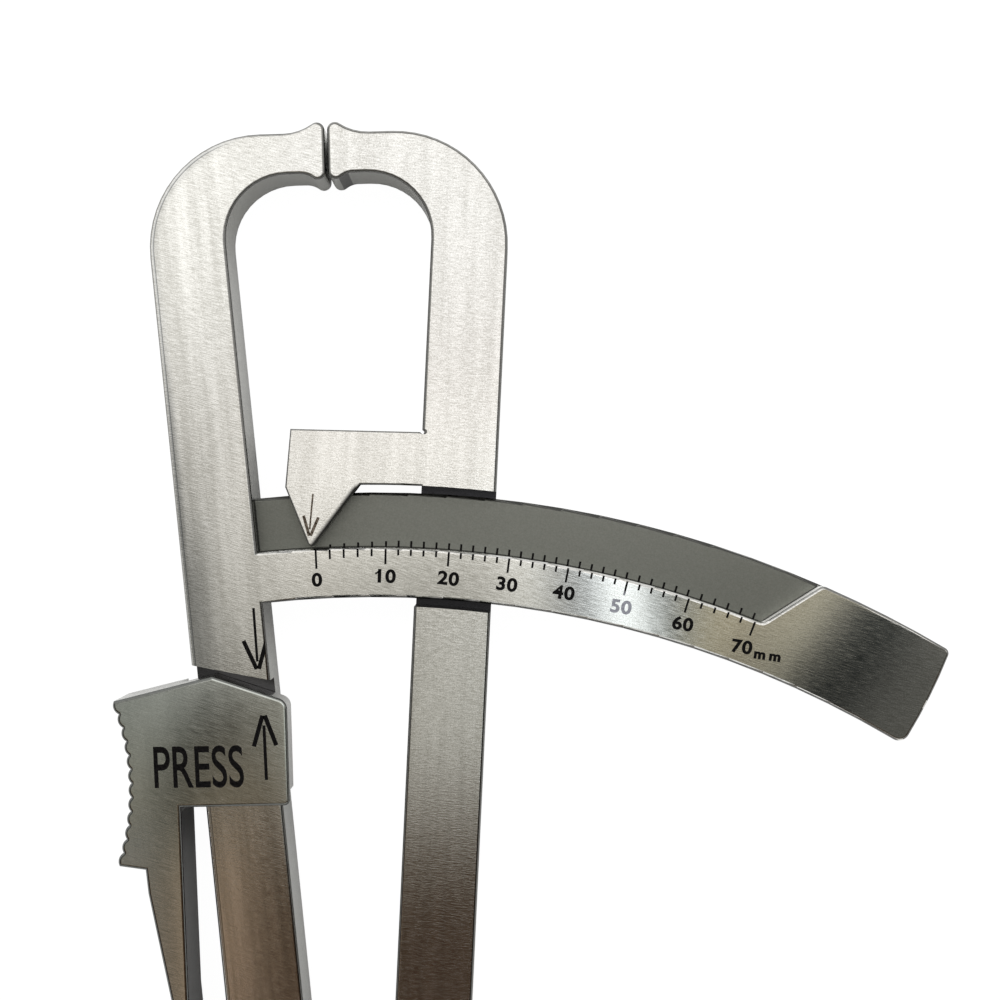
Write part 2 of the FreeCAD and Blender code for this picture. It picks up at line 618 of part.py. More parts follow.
def head_washer():
    return ring(HEAD_WASHER_RADIUS, WASHER_BORE_RADIUS, ARM_THICKNESS,
                ARM_THICKNESS + HEAD_WASHER_THICKNESS)


def disc_spring():
    """A slightly conical spring washer that keeps the hinge stiff."""
    low = ARM_THICKNESS + HEAD_WASHER_THICKNESS
    high = low + DISC_SPRING_HEIGHT
    points = [Vector(DISC_SPRING_RADIUS, 0, low),
              Vector(DISC_SPRING_RADIUS, 0, low + DISC_SPRING_SHEET),
              Vector(WASHER_BORE_RADIUS, 0, high),
              Vector(WASHER_BORE_RADIUS, 0, high - DISC_SPRING_SHEET)]
    return outline(*points).revolve(Vector(0, 0, 0), Vector(0, 0, 1), 360)


# --- write every piece ----------------------------------------------------------------------------
PIECES = {
    "left_arm": left_arm(),
    "right_arm": right_arm(),
    "press_lever": press_lever(),
    "lever_leaf": lever_leaf(),
    "leaf_clamp_plate": leaf_clamp_plate(),
    "pivot_bolt": pivot_bolt(),
    "pivot_nut": pivot_nut(),
    "pivot_bush": pivot_bush(),
    "lug_washer": lug_washer(),
    "head_washer": head_washer(),
    "disc_spring": disc_spring(),
}
for end, up in screw_places().items():
    PIECES["leaf_screw_" + end] = leaf_screw(up)
for end, up in rivet_places().items():
    PIECES["lever_rivet_" + end] = lever_rivet(up)

os.makedirs("parts", exist_ok=True)
for name, shape in PIECES.items():
    solid = shape.Solids[0]
    print(f"{name}: {len(shape.Solids)} solid, valid {solid.isValid()}, {solid.Volume / 1000:.3f} cm3, "
          f"x {solid.BoundBox.XMin:.2f}..{solid.BoundBox.XMax:.2f}, "
          f"y {solid.BoundBox.YMin:.2f}..{solid.BoundBox.YMax:.2f}, "
          f"z {solid.BoundBox.ZMin:.2f}..{solid.BoundBox.ZMax:.2f}")
    solid.exportStep("parts/" + name + ".step")
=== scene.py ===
# %% [markdown]
# # Skinfold caliper
# Two steel arms turn on one stiff hinge and meet in hooked jaws. The left arm carries a curved scale,
# the right arm carries the pointer, and a thumb lever on a leaf spring shows the right pressure.
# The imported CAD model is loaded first. It is the frame that every piece below is fitted to.

# %% Load the fixed frame
import json
import math

import bmesh
import bpy
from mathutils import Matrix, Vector


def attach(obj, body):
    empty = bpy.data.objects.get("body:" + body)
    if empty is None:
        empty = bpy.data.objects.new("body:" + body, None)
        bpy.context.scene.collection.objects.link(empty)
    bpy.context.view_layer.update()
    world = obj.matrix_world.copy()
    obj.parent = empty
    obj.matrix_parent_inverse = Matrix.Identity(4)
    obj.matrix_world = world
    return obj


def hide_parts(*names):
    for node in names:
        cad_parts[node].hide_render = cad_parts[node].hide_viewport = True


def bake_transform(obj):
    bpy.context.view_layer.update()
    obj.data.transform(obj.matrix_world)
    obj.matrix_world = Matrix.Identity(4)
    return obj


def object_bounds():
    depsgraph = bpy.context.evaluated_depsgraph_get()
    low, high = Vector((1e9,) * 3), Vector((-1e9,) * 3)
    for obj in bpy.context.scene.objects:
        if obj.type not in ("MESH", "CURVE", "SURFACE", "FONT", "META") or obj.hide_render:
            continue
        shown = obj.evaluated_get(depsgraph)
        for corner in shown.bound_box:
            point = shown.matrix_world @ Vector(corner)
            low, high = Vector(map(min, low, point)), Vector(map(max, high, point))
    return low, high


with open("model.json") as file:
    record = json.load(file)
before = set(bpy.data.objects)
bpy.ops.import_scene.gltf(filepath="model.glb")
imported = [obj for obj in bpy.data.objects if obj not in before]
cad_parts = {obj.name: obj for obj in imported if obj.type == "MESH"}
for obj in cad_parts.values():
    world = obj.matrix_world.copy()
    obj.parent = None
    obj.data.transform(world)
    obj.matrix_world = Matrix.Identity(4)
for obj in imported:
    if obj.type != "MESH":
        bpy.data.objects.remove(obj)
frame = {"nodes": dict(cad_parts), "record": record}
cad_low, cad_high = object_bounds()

MM = 0.001

# %% [markdown]
# ## Sizes shared by the marks and the camera
# These repeat the driving values of the CAD source, in millimetres. Angles are measured about the
# pivot, clockwise from +Y as seen from the front. LOW_EDGE, LOW_LINE and BEVEL_END belong to the
# painted shade and sheen of the edges alone.

# %% Sizes of the caliper
ARM_FRONT = 9.0
ARM_WIDTH = 8.85
LEVER_FRONT = 10.0
RECESS_FLOOR = 6.9
ARM_LEAN_DEG = 4.26
LEAN = math.radians(ARM_LEAN_DEG)
BAND_RADIUS = 123.3
SCALE_OUTER_RADIUS = 129.6
SCALE_INNER_RADIUS, SCALE_CENTRE_X = 117.52, 0.9  # the scale's edges are struck beside the pivot
# LOW_LINE is the width of a painted shade line along the scale's lower edge.
LOW_EDGE, LOW_LINE = 0.60, 0.20  # rim of the scale's lower edge, and the dark line along it
RECESS_END = ((48.77, 113.24), (55.77, 117.41))  # foot and crest of the wall that ends the recess
SHOULDER, SHOULDER_RADIUS = (-7.615, 158.1), 13.0  # the left arm's arch, outside
# The fine line at the bevel's end is a painted shade line.
BEVEL_END = 0.56  # the bevel of the left arm's outer edge ends here in a fine line


def polar(radius, angle_deg):
    """A place at this distance from the pivot, in millimetres."""
    angle = math.radians(angle_deg)
    return Vector((radius * math.sin(angle), radius * math.cos(angle), 0))


print("recess from", BAND_RADIUS, "to", SCALE_OUTER_RADIUS, "mm from the pivot")

# %% [markdown]
# ## Camera
# The camera looks straight down on the caliper as it lies on its back, and is turned a little about
# its own axis. The lens follows from the width that is seen on the front faces.

# %% Camera
VIEW_WIDTH = 1000 / 8.7  # millimetres of the front plane across the picture
VIEW_DISTANCE = 228.0
AXIS_POINT = Vector((18.90, 128.27, ARM_FRONT))
CAMERA_ROLL_DEG = -1.56
SENSOR = 36.0


def in_scene(name, data):
    """A new object in the scene, from the data of a camera, a lamp, a mesh or a text."""
    piece = bpy.data.objects.new(name, data)
    bpy.context.scene.collection.objects.link(piece)
    return piece


lens = bpy.data.cameras.new("camera")
lens.sensor_width = SENSOR
lens.lens = SENSOR * VIEW_DISTANCE / VIEW_WIDTH
lens.clip_start, lens.clip_end = 0.01, 20
camera = in_scene("camera", lens)
camera.location = (AXIS_POINT + Vector((0, 0, VIEW_DISTANCE))) * MM
camera.rotation_euler = (0, 0, math.radians(CAMERA_ROLL_DEG))
bpy.context.scene.camera = camera
print("lens", round(lens.lens, 2), "mm")

# %% [markdown]
# ## Writing shaders as sums
# A material is a network of small nodes. To keep the arithmetic readable, a Wire wraps one output
# socket and understands the usual operators, and a Board adds any other node by its type.

# %% A wire and a board
class Wire:
    """One output socket that takes part in plain arithmetic."""

    def __init__(self, board, socket):
        self.board, self.socket = board, socket

    def math(self, operation, *others):
        return self.board.add("ShaderNodeMath", {"operation": operation}, dict(enumerate((self, *others))))

    def __add__(self, other):
        return self.math("ADD", other)

    def __sub__(self, other):
        return self.math("SUBTRACT", other)

    def __rsub__(self, other):
        return self * -1.0 + other

    def __mul__(self, other):
        return self.math("MULTIPLY", other)

    def __truediv__(self, other):
        return self.math("DIVIDE", other)

    def __gt__(self, other):
        return self.math("GREATER_THAN", other)

    def __lt__(self, other):
        return self.math("LESS_THAN", other)

    __radd__, __rmul__ = __add__, __mul__

    def clamped(self):
        return self.math("MAXIMUM", 0.0).math("MINIMUM", 1.0)

    def ramp(self, low, high):
        """0 below low and 1 above high, with a soft step between them."""
        return self.board.add("ShaderNodeMapRange", {"interpolation_type": "SMOOTHSTEP"},
                              {0: self, 1: low, 2: high})


class Board:
    """The node tree of one material or of the world."""

    def __init__(self, tree):
        self.tree = tree
        tree.nodes.clear()

    def add(self, kind, settings=None, values=None, out=0):
        """A node of this type, with its settings first and then the values or links of its sockets."""
        node = self.tree.nodes.new(kind)
        for name, setting in (settings or {}).items():
            if name == "stops":
                self.set_stops(node.color_ramp, setting)
            else:
                setattr(node, name, setting)
        for name, value in (values or {}).items():
            if isinstance(value, Wire):
                self.tree.links.new(value.socket, node.inputs[name])
            else:
                node.inputs[name].default_value = value
        return Wire(self, node.outputs[out]) if len(node.outputs) else node

    @staticmethod
    def set_stops(ramp, stops):
        while len(ramp.elements) < len(stops):
            ramp.elements.new(1.0)
        for element, (place, colour) in zip(ramp.elements, stops):
            element.position = place
            element.color = (*colour, 1)

    def split(self, vector):
        """The three parts of a vector."""
        node = self.tree.nodes.new("ShaderNodeSeparateXYZ")
        self.tree.links.new(vector.socket, node.inputs[0])
        return [Wire(self, socket) for socket in node.outputs]

    def blend_colours(self, share, first, second, how="MIX"):
        """Mix node for colours: sockets 0, 6 and 7 in, 2 out."""
        first, second = [c if isinstance(c, Wire) else (*c, 1) for c in (first, second)]
        return self.add("ShaderNodeMix", {"data_type": "RGBA", "blend_type": how},
                        {0: share, 6: first, 7: second}, out=2)

    def show(self, surface):
        """End the material in this surface."""
        self.add("ShaderNodeOutputMaterial", values={"Surface": surface})


def blank_material(name):
    """A new material and the board of its nodes."""
    material = bpy.data.materials.new(name)
    material.use_nodes = True
    return material, Board(material.node_tree)


print("shader helpers ready")

# %% [markdown]
# ## Studio
# A pale floor lies under the caliper. Most of its white is a glow that only the camera sees, so it
# looks white without more light on the steel, and the rest takes the caliper's shadow. The surround
# is white too, with one large soft lamp and a weaker one.

# %% Floor
FLOOR_SIZE = 3.0
FLOOR_GAP = 0.00005
WHITE_SHARE = 0.90  # how much of the floor's white doesn't take shadows


def flat_sheet(name, low, high, z):
    """A rectangle in metres."""
    mesh = bpy.data.meshes.new(name)
    corners = [(low[0], low[1], z), (high[0], low[1], z), (high[0], high[1], z), (low[0], high[1], z)]
    mesh.from_pydata(corners, [], [(0, 1, 2, 3)])
    return in_scene(name, mesh)


floor = flat_sheet("floor", (-FLOOR_SIZE, -FLOOR_SIZE), (FLOOR_SIZE, FLOOR_SIZE), cad_low.z - FLOOR_GAP)
floor_paper, board = blank_material("floor_paper")
seen = board.add("ShaderNodeLightPath", out="Is Camera Ray")
paper = board.add("ShaderNodeBsdfDiffuse", values={"Color": (0.86, 0.86, 0.855, 1)})
glow = board.add("ShaderNodeEmission", values={"Color": (1, 1, 1, 1), "Strength": 1.08})
surface = board.add("ShaderNodeMixShader", values={0: seen * WHITE_SHARE, 1: paper, 2: glow})
board.show(surface)
floor.data.materials.append(floor_paper)
print("floor at", round(floor.data.vertices[0].co.z, 6))

# %% World and lamps
AMBIENT = 0.55

world = bpy.data.worlds.new("studio")
bpy.context.scene.world = world
world.use_nodes = True
world.cycles.sampling_method = "NONE"  # the surround is even, and the card has to hide it
board = Board(world.node_tree)
path = "ShaderNodeLightPath"
white = (board.add(path, out="Is Camera Ray") + board.add(path, out="Is Glossy Ray")
         + board.add(path, out="Is Transmission Ray")).clamped()
sky = board.add("ShaderNodeBackground",
                values={"Color": (1, 1, 1, 1), "Strength": white * (1 - AMBIENT) + AMBIENT})
board.add("ShaderNodeOutputWorld", values={"Surface": sky})


def soft_lamp(name, place, size, watts):
    """A square lamp aimed at the middle of the caliper."""
    data = bpy.data.lights.new(name, "AREA")
    data.size, data.energy = size, watts
    lamp = in_scene(name, data)
    lamp.location = place
    aim = (cad_low + cad_high) / 2 - Vector(place)
    lamp.rotation_euler = aim.to_track_quat("-Z", "Y").to_euler()
    lamp.visible_glossy = False  # steel mirrors the room and the card, not the lamps


soft_lamp("lamp_top", (-0.30, 0.75, 0.95), 0.8, 7.0)
soft_lamp("lamp_side", (0.95, 0.35, 0.60), 0.6, 2.5)
print("ambient", AMBIENT, "and two lamps")

# %% [markdown]
# ## Reflection card
# Polished steel shows what stands around it, and a white room alone makes it flat. So a sheet hangs
# close over the caliper that only mirror rays see. It is pale over the jaws, grey over the scale and
# dark towards the handles and the free end of the scale. Its tones are stops along the caliper, for
# the left and for the right, times stops across it, which change with the height on the caliper.

# %% Tones along the card
CARD_HEIGHT = 0.12
CARD_LOW, CARD_HIGH = (-0.25, -0.30), (0.35, 0.40)
CARD_LEFT = [  # y in metres, colour over the left arm and the lever
    (-0.3, (0.42, 0.41, 0.39)), (0.0, (0.42, 0.41, 0.39)), (0.025, (0.105, 0.07, 0.045)),
    (0.052, (0.105, 0.07, 0.045)), (0.069, (0.1, 0.07, 0.045)), (0.0735, (0.14, 0.118, 0.09)),
    (0.079, (0.25, 0.23, 0.19)), (0.089, (0.255, 0.248, 0.22)), (0.0925, (0.28, 0.275, 0.245)),
    (0.0945, (0.39, 0.388, 0.358)), (0.097, (0.46, 0.452, 0.42)), (0.108, (0.45, 0.435, 0.4)),
    (0.116, (0.52, 0.505, 0.47)), (0.124, (0.6, 0.585, 0.55)), (0.138, (0.74, 0.72, 0.68)),
    (0.15, (0.85, 0.835, 0.81)), (0.165, (1.08, 1.07, 1.04)), (0.4, (1.0, 0.99, 0.98)),
]
CARD_RIGHT = [  # y in metres, colour over the right arm and the scale
    (-0.3, (0.42, 0.41, 0.39)), (0.0, (0.42, 0.41, 0.39)), (0.025, (0.055, 0.034, 0.02)),
    (0.062, (0.034, 0.015, 0.005)), (0.069, (0.085, 0.06, 0.038)), (0.0765, (0.28, 0.26, 0.23)),
    (0.0863, (0.6, 0.595, 0.55)), (0.095, (0.57, 0.56, 0.52)), (0.103, (0.55, 0.54, 0.5)),
    (0.114, (0.54, 0.525, 0.49)), (0.119, (0.68, 0.665, 0.62)), (0.126, (1.1, 1.08, 1.04)),
    (0.134, (1.4, 1.37, 1.34)), (0.142, (1.02, 0.99, 0.96)), (0.152, (0.98, 0.94, 0.92)),
    (0.168, (1.09, 1.08, 1.07)), (0.4, (1.0, 0.98, 0.94)),
]
print(len(CARD_LEFT), "and", len(CARD_RIGHT), "tones along the card")

# %% Tones across the card
SIDES_LOW = [  # x in metres, share of the tone over the handles
    (-0.06, (1.0, 1.0, 1.0)), (-0.05, (2.0, 2.6, 3.6)), (-0.045, (2.4, 3.1, 4.3)),
    (-0.0434, (2.1, 2.8, 3.8)), (-0.042, (1.3, 1.7, 2.1)), (-0.0406, (1.15, 1.45, 1.8)),
    (-0.038, (1.6, 1.9, 2.2)), (-0.036, (1.8, 1.9, 2.0)), (-0.0345, (3.4, 3.4, 3.4)),
    (-0.0325, (6.0, 6.4, 6.8)), (-0.0305, (5.8, 6.2, 6.6)), (-0.0296, (3.4, 3.7, 4.0)),
    (-0.0284, (0.75, 0.75, 0.78)), (-0.0265, (0.6, 0.6, 0.62)), (-0.023, (0.8, 0.8, 0.82)),
    (0.35, (1.0, 1.0, 1.0)),
]
SIDES_LEVER = [  # over the upper half of the thumb lever
    (-0.25, (0.7, 0.72, 0.72)), (-0.047, (0.66, 0.68, 0.68)), (-0.0445, (0.95, 0.97, 0.97)),
    (-0.042, (1.22, 1.24, 1.24)), (-0.0395, (1.12, 1.14, 1.14)), (-0.0375, (0.58, 0.59, 0.59)),
    (-0.035, (0.22, 0.22, 0.21)), (-0.032, (0.14, 0.13, 0.12)), (-0.029, (0.3, 0.28, 0.26)),
    (-0.0255, (0.44, 0.4, 0.37)), (-0.019, (0.62, 0.56, 0.5)), (0.35, (1.0, 1.0, 1.0)),
]
SIDES_THUMB = [  # over its lower half
    (-0.25, (1.0, 1.0, 1.0)), (-0.0432, (1.22, 1.24, 1.24)), (-0.0405, (0.52, 0.54, 0.54)),
    (-0.0385, (0.17, 0.18, 0.17)), (-0.0362, (0.24, 0.24, 0.22)), (-0.033, (0.72, 0.66, 0.58)),
    (-0.029, (0.8, 0.7, 0.6)), (-0.019, (0.66, 0.55, 0.46)), (0.35, (1.0, 1.0, 1.0)),
]
SIDES_ARM = [  # over the left arm beside the scale
    (-0.25, (0.6, 0.6, 0.6)), (-0.041, (0.5, 0.51, 0.52)), (-0.037, (0.55, 0.56, 0.57)),
    (-0.034, (0.88, 0.89, 0.9)), (-0.031, (1.0, 1.0, 1.0)), (-0.026, (1.12, 1.12, 1.12)),
    (-0.018, (1.05, 1.05, 1.05)), (0.35, (1.0, 1.0, 1.0)),
]
SIDES_SCALE = [  # over the right arm and the scale: a pale gleam, then olive, then dark
    (-0.25, (1.02, 1.02, 1.02)), (-0.01, (1.0, 0.99, 0.98)), (-0.004, (0.92, 0.92, 0.91)),
    (0.001, (0.86, 0.86, 0.85)), (0.007, (0.81, 0.81, 0.8)), (0.0165, (0.85, 0.85, 0.84)),
    (0.0195, (1.1, 1.11, 1.12)), (0.0225, (1.5, 1.52, 1.54)), (0.0255, (1.1, 1.14, 1.16)),
    (0.0285, (0.72, 0.74, 0.78)), (0.033, (0.36, 0.4, 0.46)), (0.035, (1.0, 1.08, 1.18)),
    (0.0365, (2.2, 2.4, 2.65)), (0.0395, (2.85, 3.05, 3.35)), (0.042, (2.45, 2.65, 2.9)),
    (0.044, (0.95, 1.05, 1.14)), (0.0465, (0.36, 0.4, 0.43)), (0.0485, (0.34, 0.37, 0.39)),
    (0.051, (0.7, 0.68, 0.57)), (0.056, (0.84, 0.77, 0.59)), (0.061, (0.6, 0.56, 0.48)),
    (0.0645, (0.72, 0.68, 0.56)), (0.0685, (0.9, 0.87, 0.74)), (0.071, (0.68, 0.67, 0.58)),
    (0.0735, (0.36, 0.36, 0.34)), (0.076, (0.13, 0.14, 0.148)), (0.079, (0.07, 0.08, 0.084)),
    (0.0825, (0.05, 0.058, 0.062)), (0.087, (0.1, 0.108, 0.11)), (0.091, (0.23, 0.235, 0.235)),
    (0.097, (0.32, 0.325, 0.32)), (0.35, (0.6, 0.6, 0.6)),
]
print(len(SIDES_SCALE), "tones across the scale")

# %% The card and its tones
SCALE_SKEW, SKEW_FROM, SKEW_LEVEL = 0.8, (0.045, 0.070), 0.104  # the dark end stands aslant
CARD_PARTS = (-0.020, -0.014)  # x in metres, from the left tones to the right tones
LOW_STARTS = (0.022, 0.040)  # y in metres, where the sides over the handles begin to count
LOW_ENDS, THUMB_ENDS, LEVER_ENDS = (0.069, 0.076), (0.079, 0.089), (0.095, 0.102)
LEVER_SKEW, LEVER_LEVEL = 0.35, 0.092  # the lever's dark patch leans
DIM_BELOW, DIM_PAST, DIM_SHARE = (0.097, 0.105), (0.045, 0.060), 0.45  # lower edge of the scale's end
SIDE_ENDS = (0.128, 0.146)  # up to here the sides count, and from here they don't

card = flat_sheet("reflection_card", CARD_LOW, CARD_HIGH, CARD_HEIGHT)
card_tone, board = blank_material("card_tone")
place = board.add("ShaderNodeTexCoord", out="Object")
x, y, z = board.split(place)


def tone_ramp(stops, across, low, high):
    """A colour that follows the given stops over this stretch of the card."""
    shares = [((at - low) / (high - low), tone) for at, tone in stops]
    return board.add("ShaderNodeValToRGB", {"stops": shares}, {0: (across - low) / (high - low)})


def sides(stops, across):
    """A share of the tone that follows these stops from the card's left to its right."""
    return tone_ramp(stops, across, CARD_LOW[0], CARD_HIGH[0])


over_left = tone_ramp(CARD_LEFT, y, CARD_LOW[1], CARD_HIGH[1])
over_right = tone_ramp(CARD_RIGHT, y, CARD_LOW[1], CARD_HIGH[1])
above_handles, above_thumb, above_lever = y.ramp(*LOW_ENDS), y.ramp(*THUMB_ENDS), y.ramp(*LEVER_ENDS)
skewed = x - (y - SKEW_LEVEL) * SCALE_SKEW * x.ramp(*SKEW_FROM)
leaning = x - (y - LEVER_LEVEL) * LEVER_SKEW
left_sides = board.blend_colours(above_thumb, sides(SIDES_THUMB, x), sides(SIDES_LEVER, leaning))
left_sides = board.blend_colours(above_lever, left_sides, sides(SIDES_ARM, x))
left_sides = board.blend_colours(above_handles, sides(SIDES_LOW, x), left_sides)
left_sides = board.blend_colours(y.ramp(*LOW_STARTS), (1, 1, 1), left_sides)
dim = (1.0 - y.ramp(*DIM_BELOW)) * x.ramp(*DIM_PAST) * DIM_SHARE
right_sides = board.blend_colours(dim, sides(SIDES_SCALE, skewed), (0.0, 0.0, 0.0))
right_sides = board.blend_colours(above_handles, (1, 1, 1), right_sides)
to_right = x.ramp(*CARD_PARTS)
tone = board.blend_colours(to_right, over_left, over_right)
share = board.blend_colours(to_right, left_sides, right_sides)
tone = board.blend_colours(1.0 - y.ramp(*SIDE_ENDS), tone, share, "MULTIPLY")
glow = board.add("ShaderNodeEmission", values={"Color": tone, "Strength": 1.0})
board.show(glow)
card.data.materials.append(card_tone)
card.visible_camera = card.visible_diffuse = card.visible_shadow = False
card.visible_transmission = card.visible_volume_scatter = False
print("card from", CARD_LOW, "to", CARD_HIGH)

# %% [markdown]
# ## Steel
# Every metal piece is ground and brushed. The brush leaves short dashes, nearly across the arm, in
# slightly different greys, a fine speckle between them and faint broad streaks. The dashes are one
# noise, stretched along the stroke. They vary the colour, the roughness and a very small bump.
# The milled sides are duller, and are painted a darker grey than the ground front: painted shade. A
# rounded rim would mirror the dark parts of a room; that dark reflection is painted into its colour as
# an outline, a painted shade. How far a facet leans tells where that outline belongs.

# %% Noise, dashes and metal
def noise(board, place, size, detail=2.0):
    """A grey noise with grains of about this size in metres."""
    return board.add("ShaderNodeTexNoise", values={"Vector": place, "Scale": 1 / size, "Detail": detail})


def stretched(board, place, angle_deg, along, across):
    """The place in units of one brush dash: this long and this wide, lying at this angle."""
    turned = board.add("ShaderNodeVectorRotate", {"rotation_type": "Z_AXIS"},
                       {"Vector": place, "Angle": math.radians(-angle_deg)})
    return board.add("ShaderNodeVectorMath", {"operation": "DIVIDE"},
                     {0: turned, 1: (along, across, along)})


def distance(x, y, centre=(0.0, 0.0)):
    """Metres from a centre that is given in millimetres."""
    off_x, off_y = x - centre[0] * MM, y - centre[1] * MM
    return (off_x * off_x + off_y * off_y).math("SQRT")


def finish_metal(board, colour, roughness, height, bump_depth=0.00002):
    normal = board.add("ShaderNodeBump", values={"Strength": 0.5, "Distance": bump_depth, "Height": height})
    metal = board.add("ShaderNodeBsdfPrincipled", values={
        "Base Color": colour, "Metallic": 1.0, "Roughness": roughness, "Normal": normal})
    board.show(metal)


print("noise, dashes and metal ready")

# %% A board that knows where a point of the steel lies
SIDE_LEAN = (0.10, 0.20)  # how far a normal points up, from upright sides to rims
RIM_LEAN = (0.86, 0.90)  # from the outer half of a rim to its inner half
FLAT_LEAN = (0.97, 0.99)  # from rims to flat faces


class SteelBoard(Board):
    """The nodes of one steel: where each point lies, how it faces, and what it shows so far."""

    def __init__(self, name):
        self.material, board = blank_material(name)
        super().__init__(board.tree)
        self.place = self.add("ShaderNodeTexCoord", out="Object")
        self.x, self.y, self.z = self.split(self.place)
        facing = self.add("ShaderNodeVectorTransform",
                          {"vector_type": "NORMAL", "convert_from": "WORLD", "convert_to": "OBJECT"},
                          {0: self.add("ShaderNodeNewGeometry", out="True Normal")})
        towards_x, towards_y, towards_z = self.split(facing)
        self.up = towards_z.math("ABSOLUTE")
        level = (1.0 - self.up * self.up).math("MAXIMUM", 0.0001).math("SQRT")
        self.right, self.ahead = towards_x / level, towards_y / level

    @property
    def past_arm(self):
        """Metres to the right of the left arm's inner edge."""
        return self.x * math.cos(LEAN) + self.y * math.sin(LEAN)

    def paint(self, share, shade):
        self.colour = self.blend_colours(share, self.colour, shade)

    def paint_sides(self, share, shade):
        self.side_colour = self.blend_colours(share, self.side_colour, shade)


def brushed_steel(name, dark, light, side, grain=(2.6, 1.5, 1.6), angle_deg=-17, dash=(0.0013, 0.00011),
                  lean_deg=ARM_LEAN_DEG, gloss=0.20, relief=1.0, lit=None, rim_shade=(0.0, 0.0), calm_below=None,
                  fade_past=None, areas=()):
    """Steel with brush dashes between two greys, and painted shade on its upright sides and rims.

    grain: how much dashes, speckle and streaks vary the colour. dash: its length and width.
    relief: depth of the dashes. lit: the direction in which the painted dark outline is thin. rim_shade:
    how dark the painted shade on the inner half of a rim is, that faces left and right. calm_below: where
    along the arm the dashes grow fainter. fade_past: how far past the left arm the streaks fade out.
    areas: functions, each with its own values, that change the look in one area of the piece.
    """
    steel = SteelBoard(name)
    dash_place = stretched(steel, steel.place, angle_deg, *dash)
    dashes = steel.add("ShaderNodeTexNoise", values={"Vector": dash_place, "Scale": 1.0, "Detail": 3.0})
    steel.speckle = noise(steel, steel.place, 0.00018, 1.0)
    streaks = noise(steel, stretched(steel, steel.place, 90 + lean_deg, 0.020, 0.0012), 1.0)
    swing = (dashes - 0.5) * grain[0] + (steel.speckle - 0.5) * grain[1]
    if calm_below:
        swing = swing * (0.35 + steel.y.ramp(*calm_below) * 0.65)
    broad = (streaks - 0.5) * grain[2]
    if fade_past:
        broad = broad * (1.0 - steel.past_arm.ramp(*fade_past))
    steel.colour = steel.blend_colours((0.5 + swing + broad).clamped(), dark, light)
    steel.side_colour = steel.blend_colours(steel.speckle, [c * 0.85 for c in side], [c * 1.12 for c in side])
    steel.roughness = gloss + (dashes - 0.5) * 0.2
    steel.height = dashes * relief
    # Painted shade: a dark outline on the outer half of each rim, a quarter lighter where it faces the lit
    # direction, and a darker inner half that faces left and right.
    steel.outline = 1.0 - (steel.right * lit[0] + steel.ahead * lit[1]).ramp(0.1, 0.6) * 0.25 if lit else 1.0
    steel.inner = steel.right.ramp(-0.5, 0.5) * (rim_shade[1] - rim_shade[0]) + rim_shade[0]
    for area, *given in areas:
        area(steel, *given)

    # Painted shade: upright sides take the darker side colour, and rims are blended towards near black.
    off_side, off_rim = steel.up.ramp(*SIDE_LEAN), steel.up.ramp(*RIM_LEAN)
    colour = steel.blend_colours(off_side, steel.side_colour, steel.colour)
    outer_rim = off_side * (1.0 - off_rim) * steel.outline
    inner_rim = off_rim * (1.0 - steel.up.ramp(*FLAT_LEAN)) * steel.inner
    colour = steel.blend_colours((outer_rim * 0.85 + inner_rim).clamped(), colour, [c * 0.12 for c in side])
    finish_metal(steel, colour, steel.roughness, steel.height)
    return steel.material


print("rims from", SIDE_LEAN[0], "to", FLAT_LEAN[1])

# %% [markdown]
# ## What differs from place to place on the steel
# The recess floor was milled and left matt, with painted shade in its creases. The end wall gets a
# painted highlight, the wall beside the arm painted shade. The scale was polished finer than the arm.
# The left arm's outer edge gets a painted pale sheen on its bevel, a painted dark line behind it, and
# painted shade that broadens towards the handle. The pointer's right edge, the wall under it and the
# corner at its foot get painted shade. Each of these is a function that paints one area, found by its
# place on the piece.

# %% Areas of the left arm
# Painted shade: a dark grey for lines along the edges, and black for creases, walls and the pointer's flank.
LINE_SHADE, SHADE_BLACK = (0.05, 0.05, 0.05), (0.01, 0.01, 0.01)
FLOOR_DARK, FLOOR_LIGHT = (0.205, 0.210, 0.188), (0.290, 0.297, 0.268)
FLOOR_DULL, END_WALL_DULL = 0.40, 0.7  # added to the roughness
# A painted highlight on the recess's end wall, and painted shade on the wall beside the arm.
END_WALL_HIGHLIGHT, ARM_WALL_SHADE = (1.0, 1.0, 0.98), (0.01, 0.009, 0.008)
END_WALL_FROM = 46.0  # only beyond this x, so that no other wall takes part
# How far the painted shade in the recess's creases reaches, in millimetres.
CREASE_AT_BAND, CREASE_AT_END, CREASE_AT_ARM = 0.13, 0.14, 0.12
SLACK = 0.02  # millimetres that a face may stray from its border
FACES_UP, FACES_END_WALL, FACES_ARM_WALL = 0.6, 0.93, 0.9  # how far a face is turned that way, up to 1
STEP_REACH = 0.5  # both sides of the step between the scale's band and the recess
POLISHED_PAST = (0.002, 0.008)  # metres past the arm: here the scale's finer polish begins
# A painted pale sheen on the outer edge's bevel, and the width of the painted dark line behind it.
BEVEL_SHEEN, BEVEL_LINE = (0.62, 0.64, 0.66), 0.11
EDGE_FADE = (-0.0150, -0.0090)  # x in metres, where the outer edge's look ends on the arch
# Painted shade along the left arm's outer edge, broadening downwards.
EDGE_SHADE, EDGE_SHADE_TINT = 0.47, (0.0, 0.01, 0.015)
NARROW_SHADE, BROAD_SHADE = (0.0006, 0.0014), (0.0006, 0.0050)  # metres in from the edge
BROAD_BELOW, NARROW_TO = (0.118, 0.132), (0.137, 0.152)  # y in metres
SHADE_FROM = (0.106, 0.108)


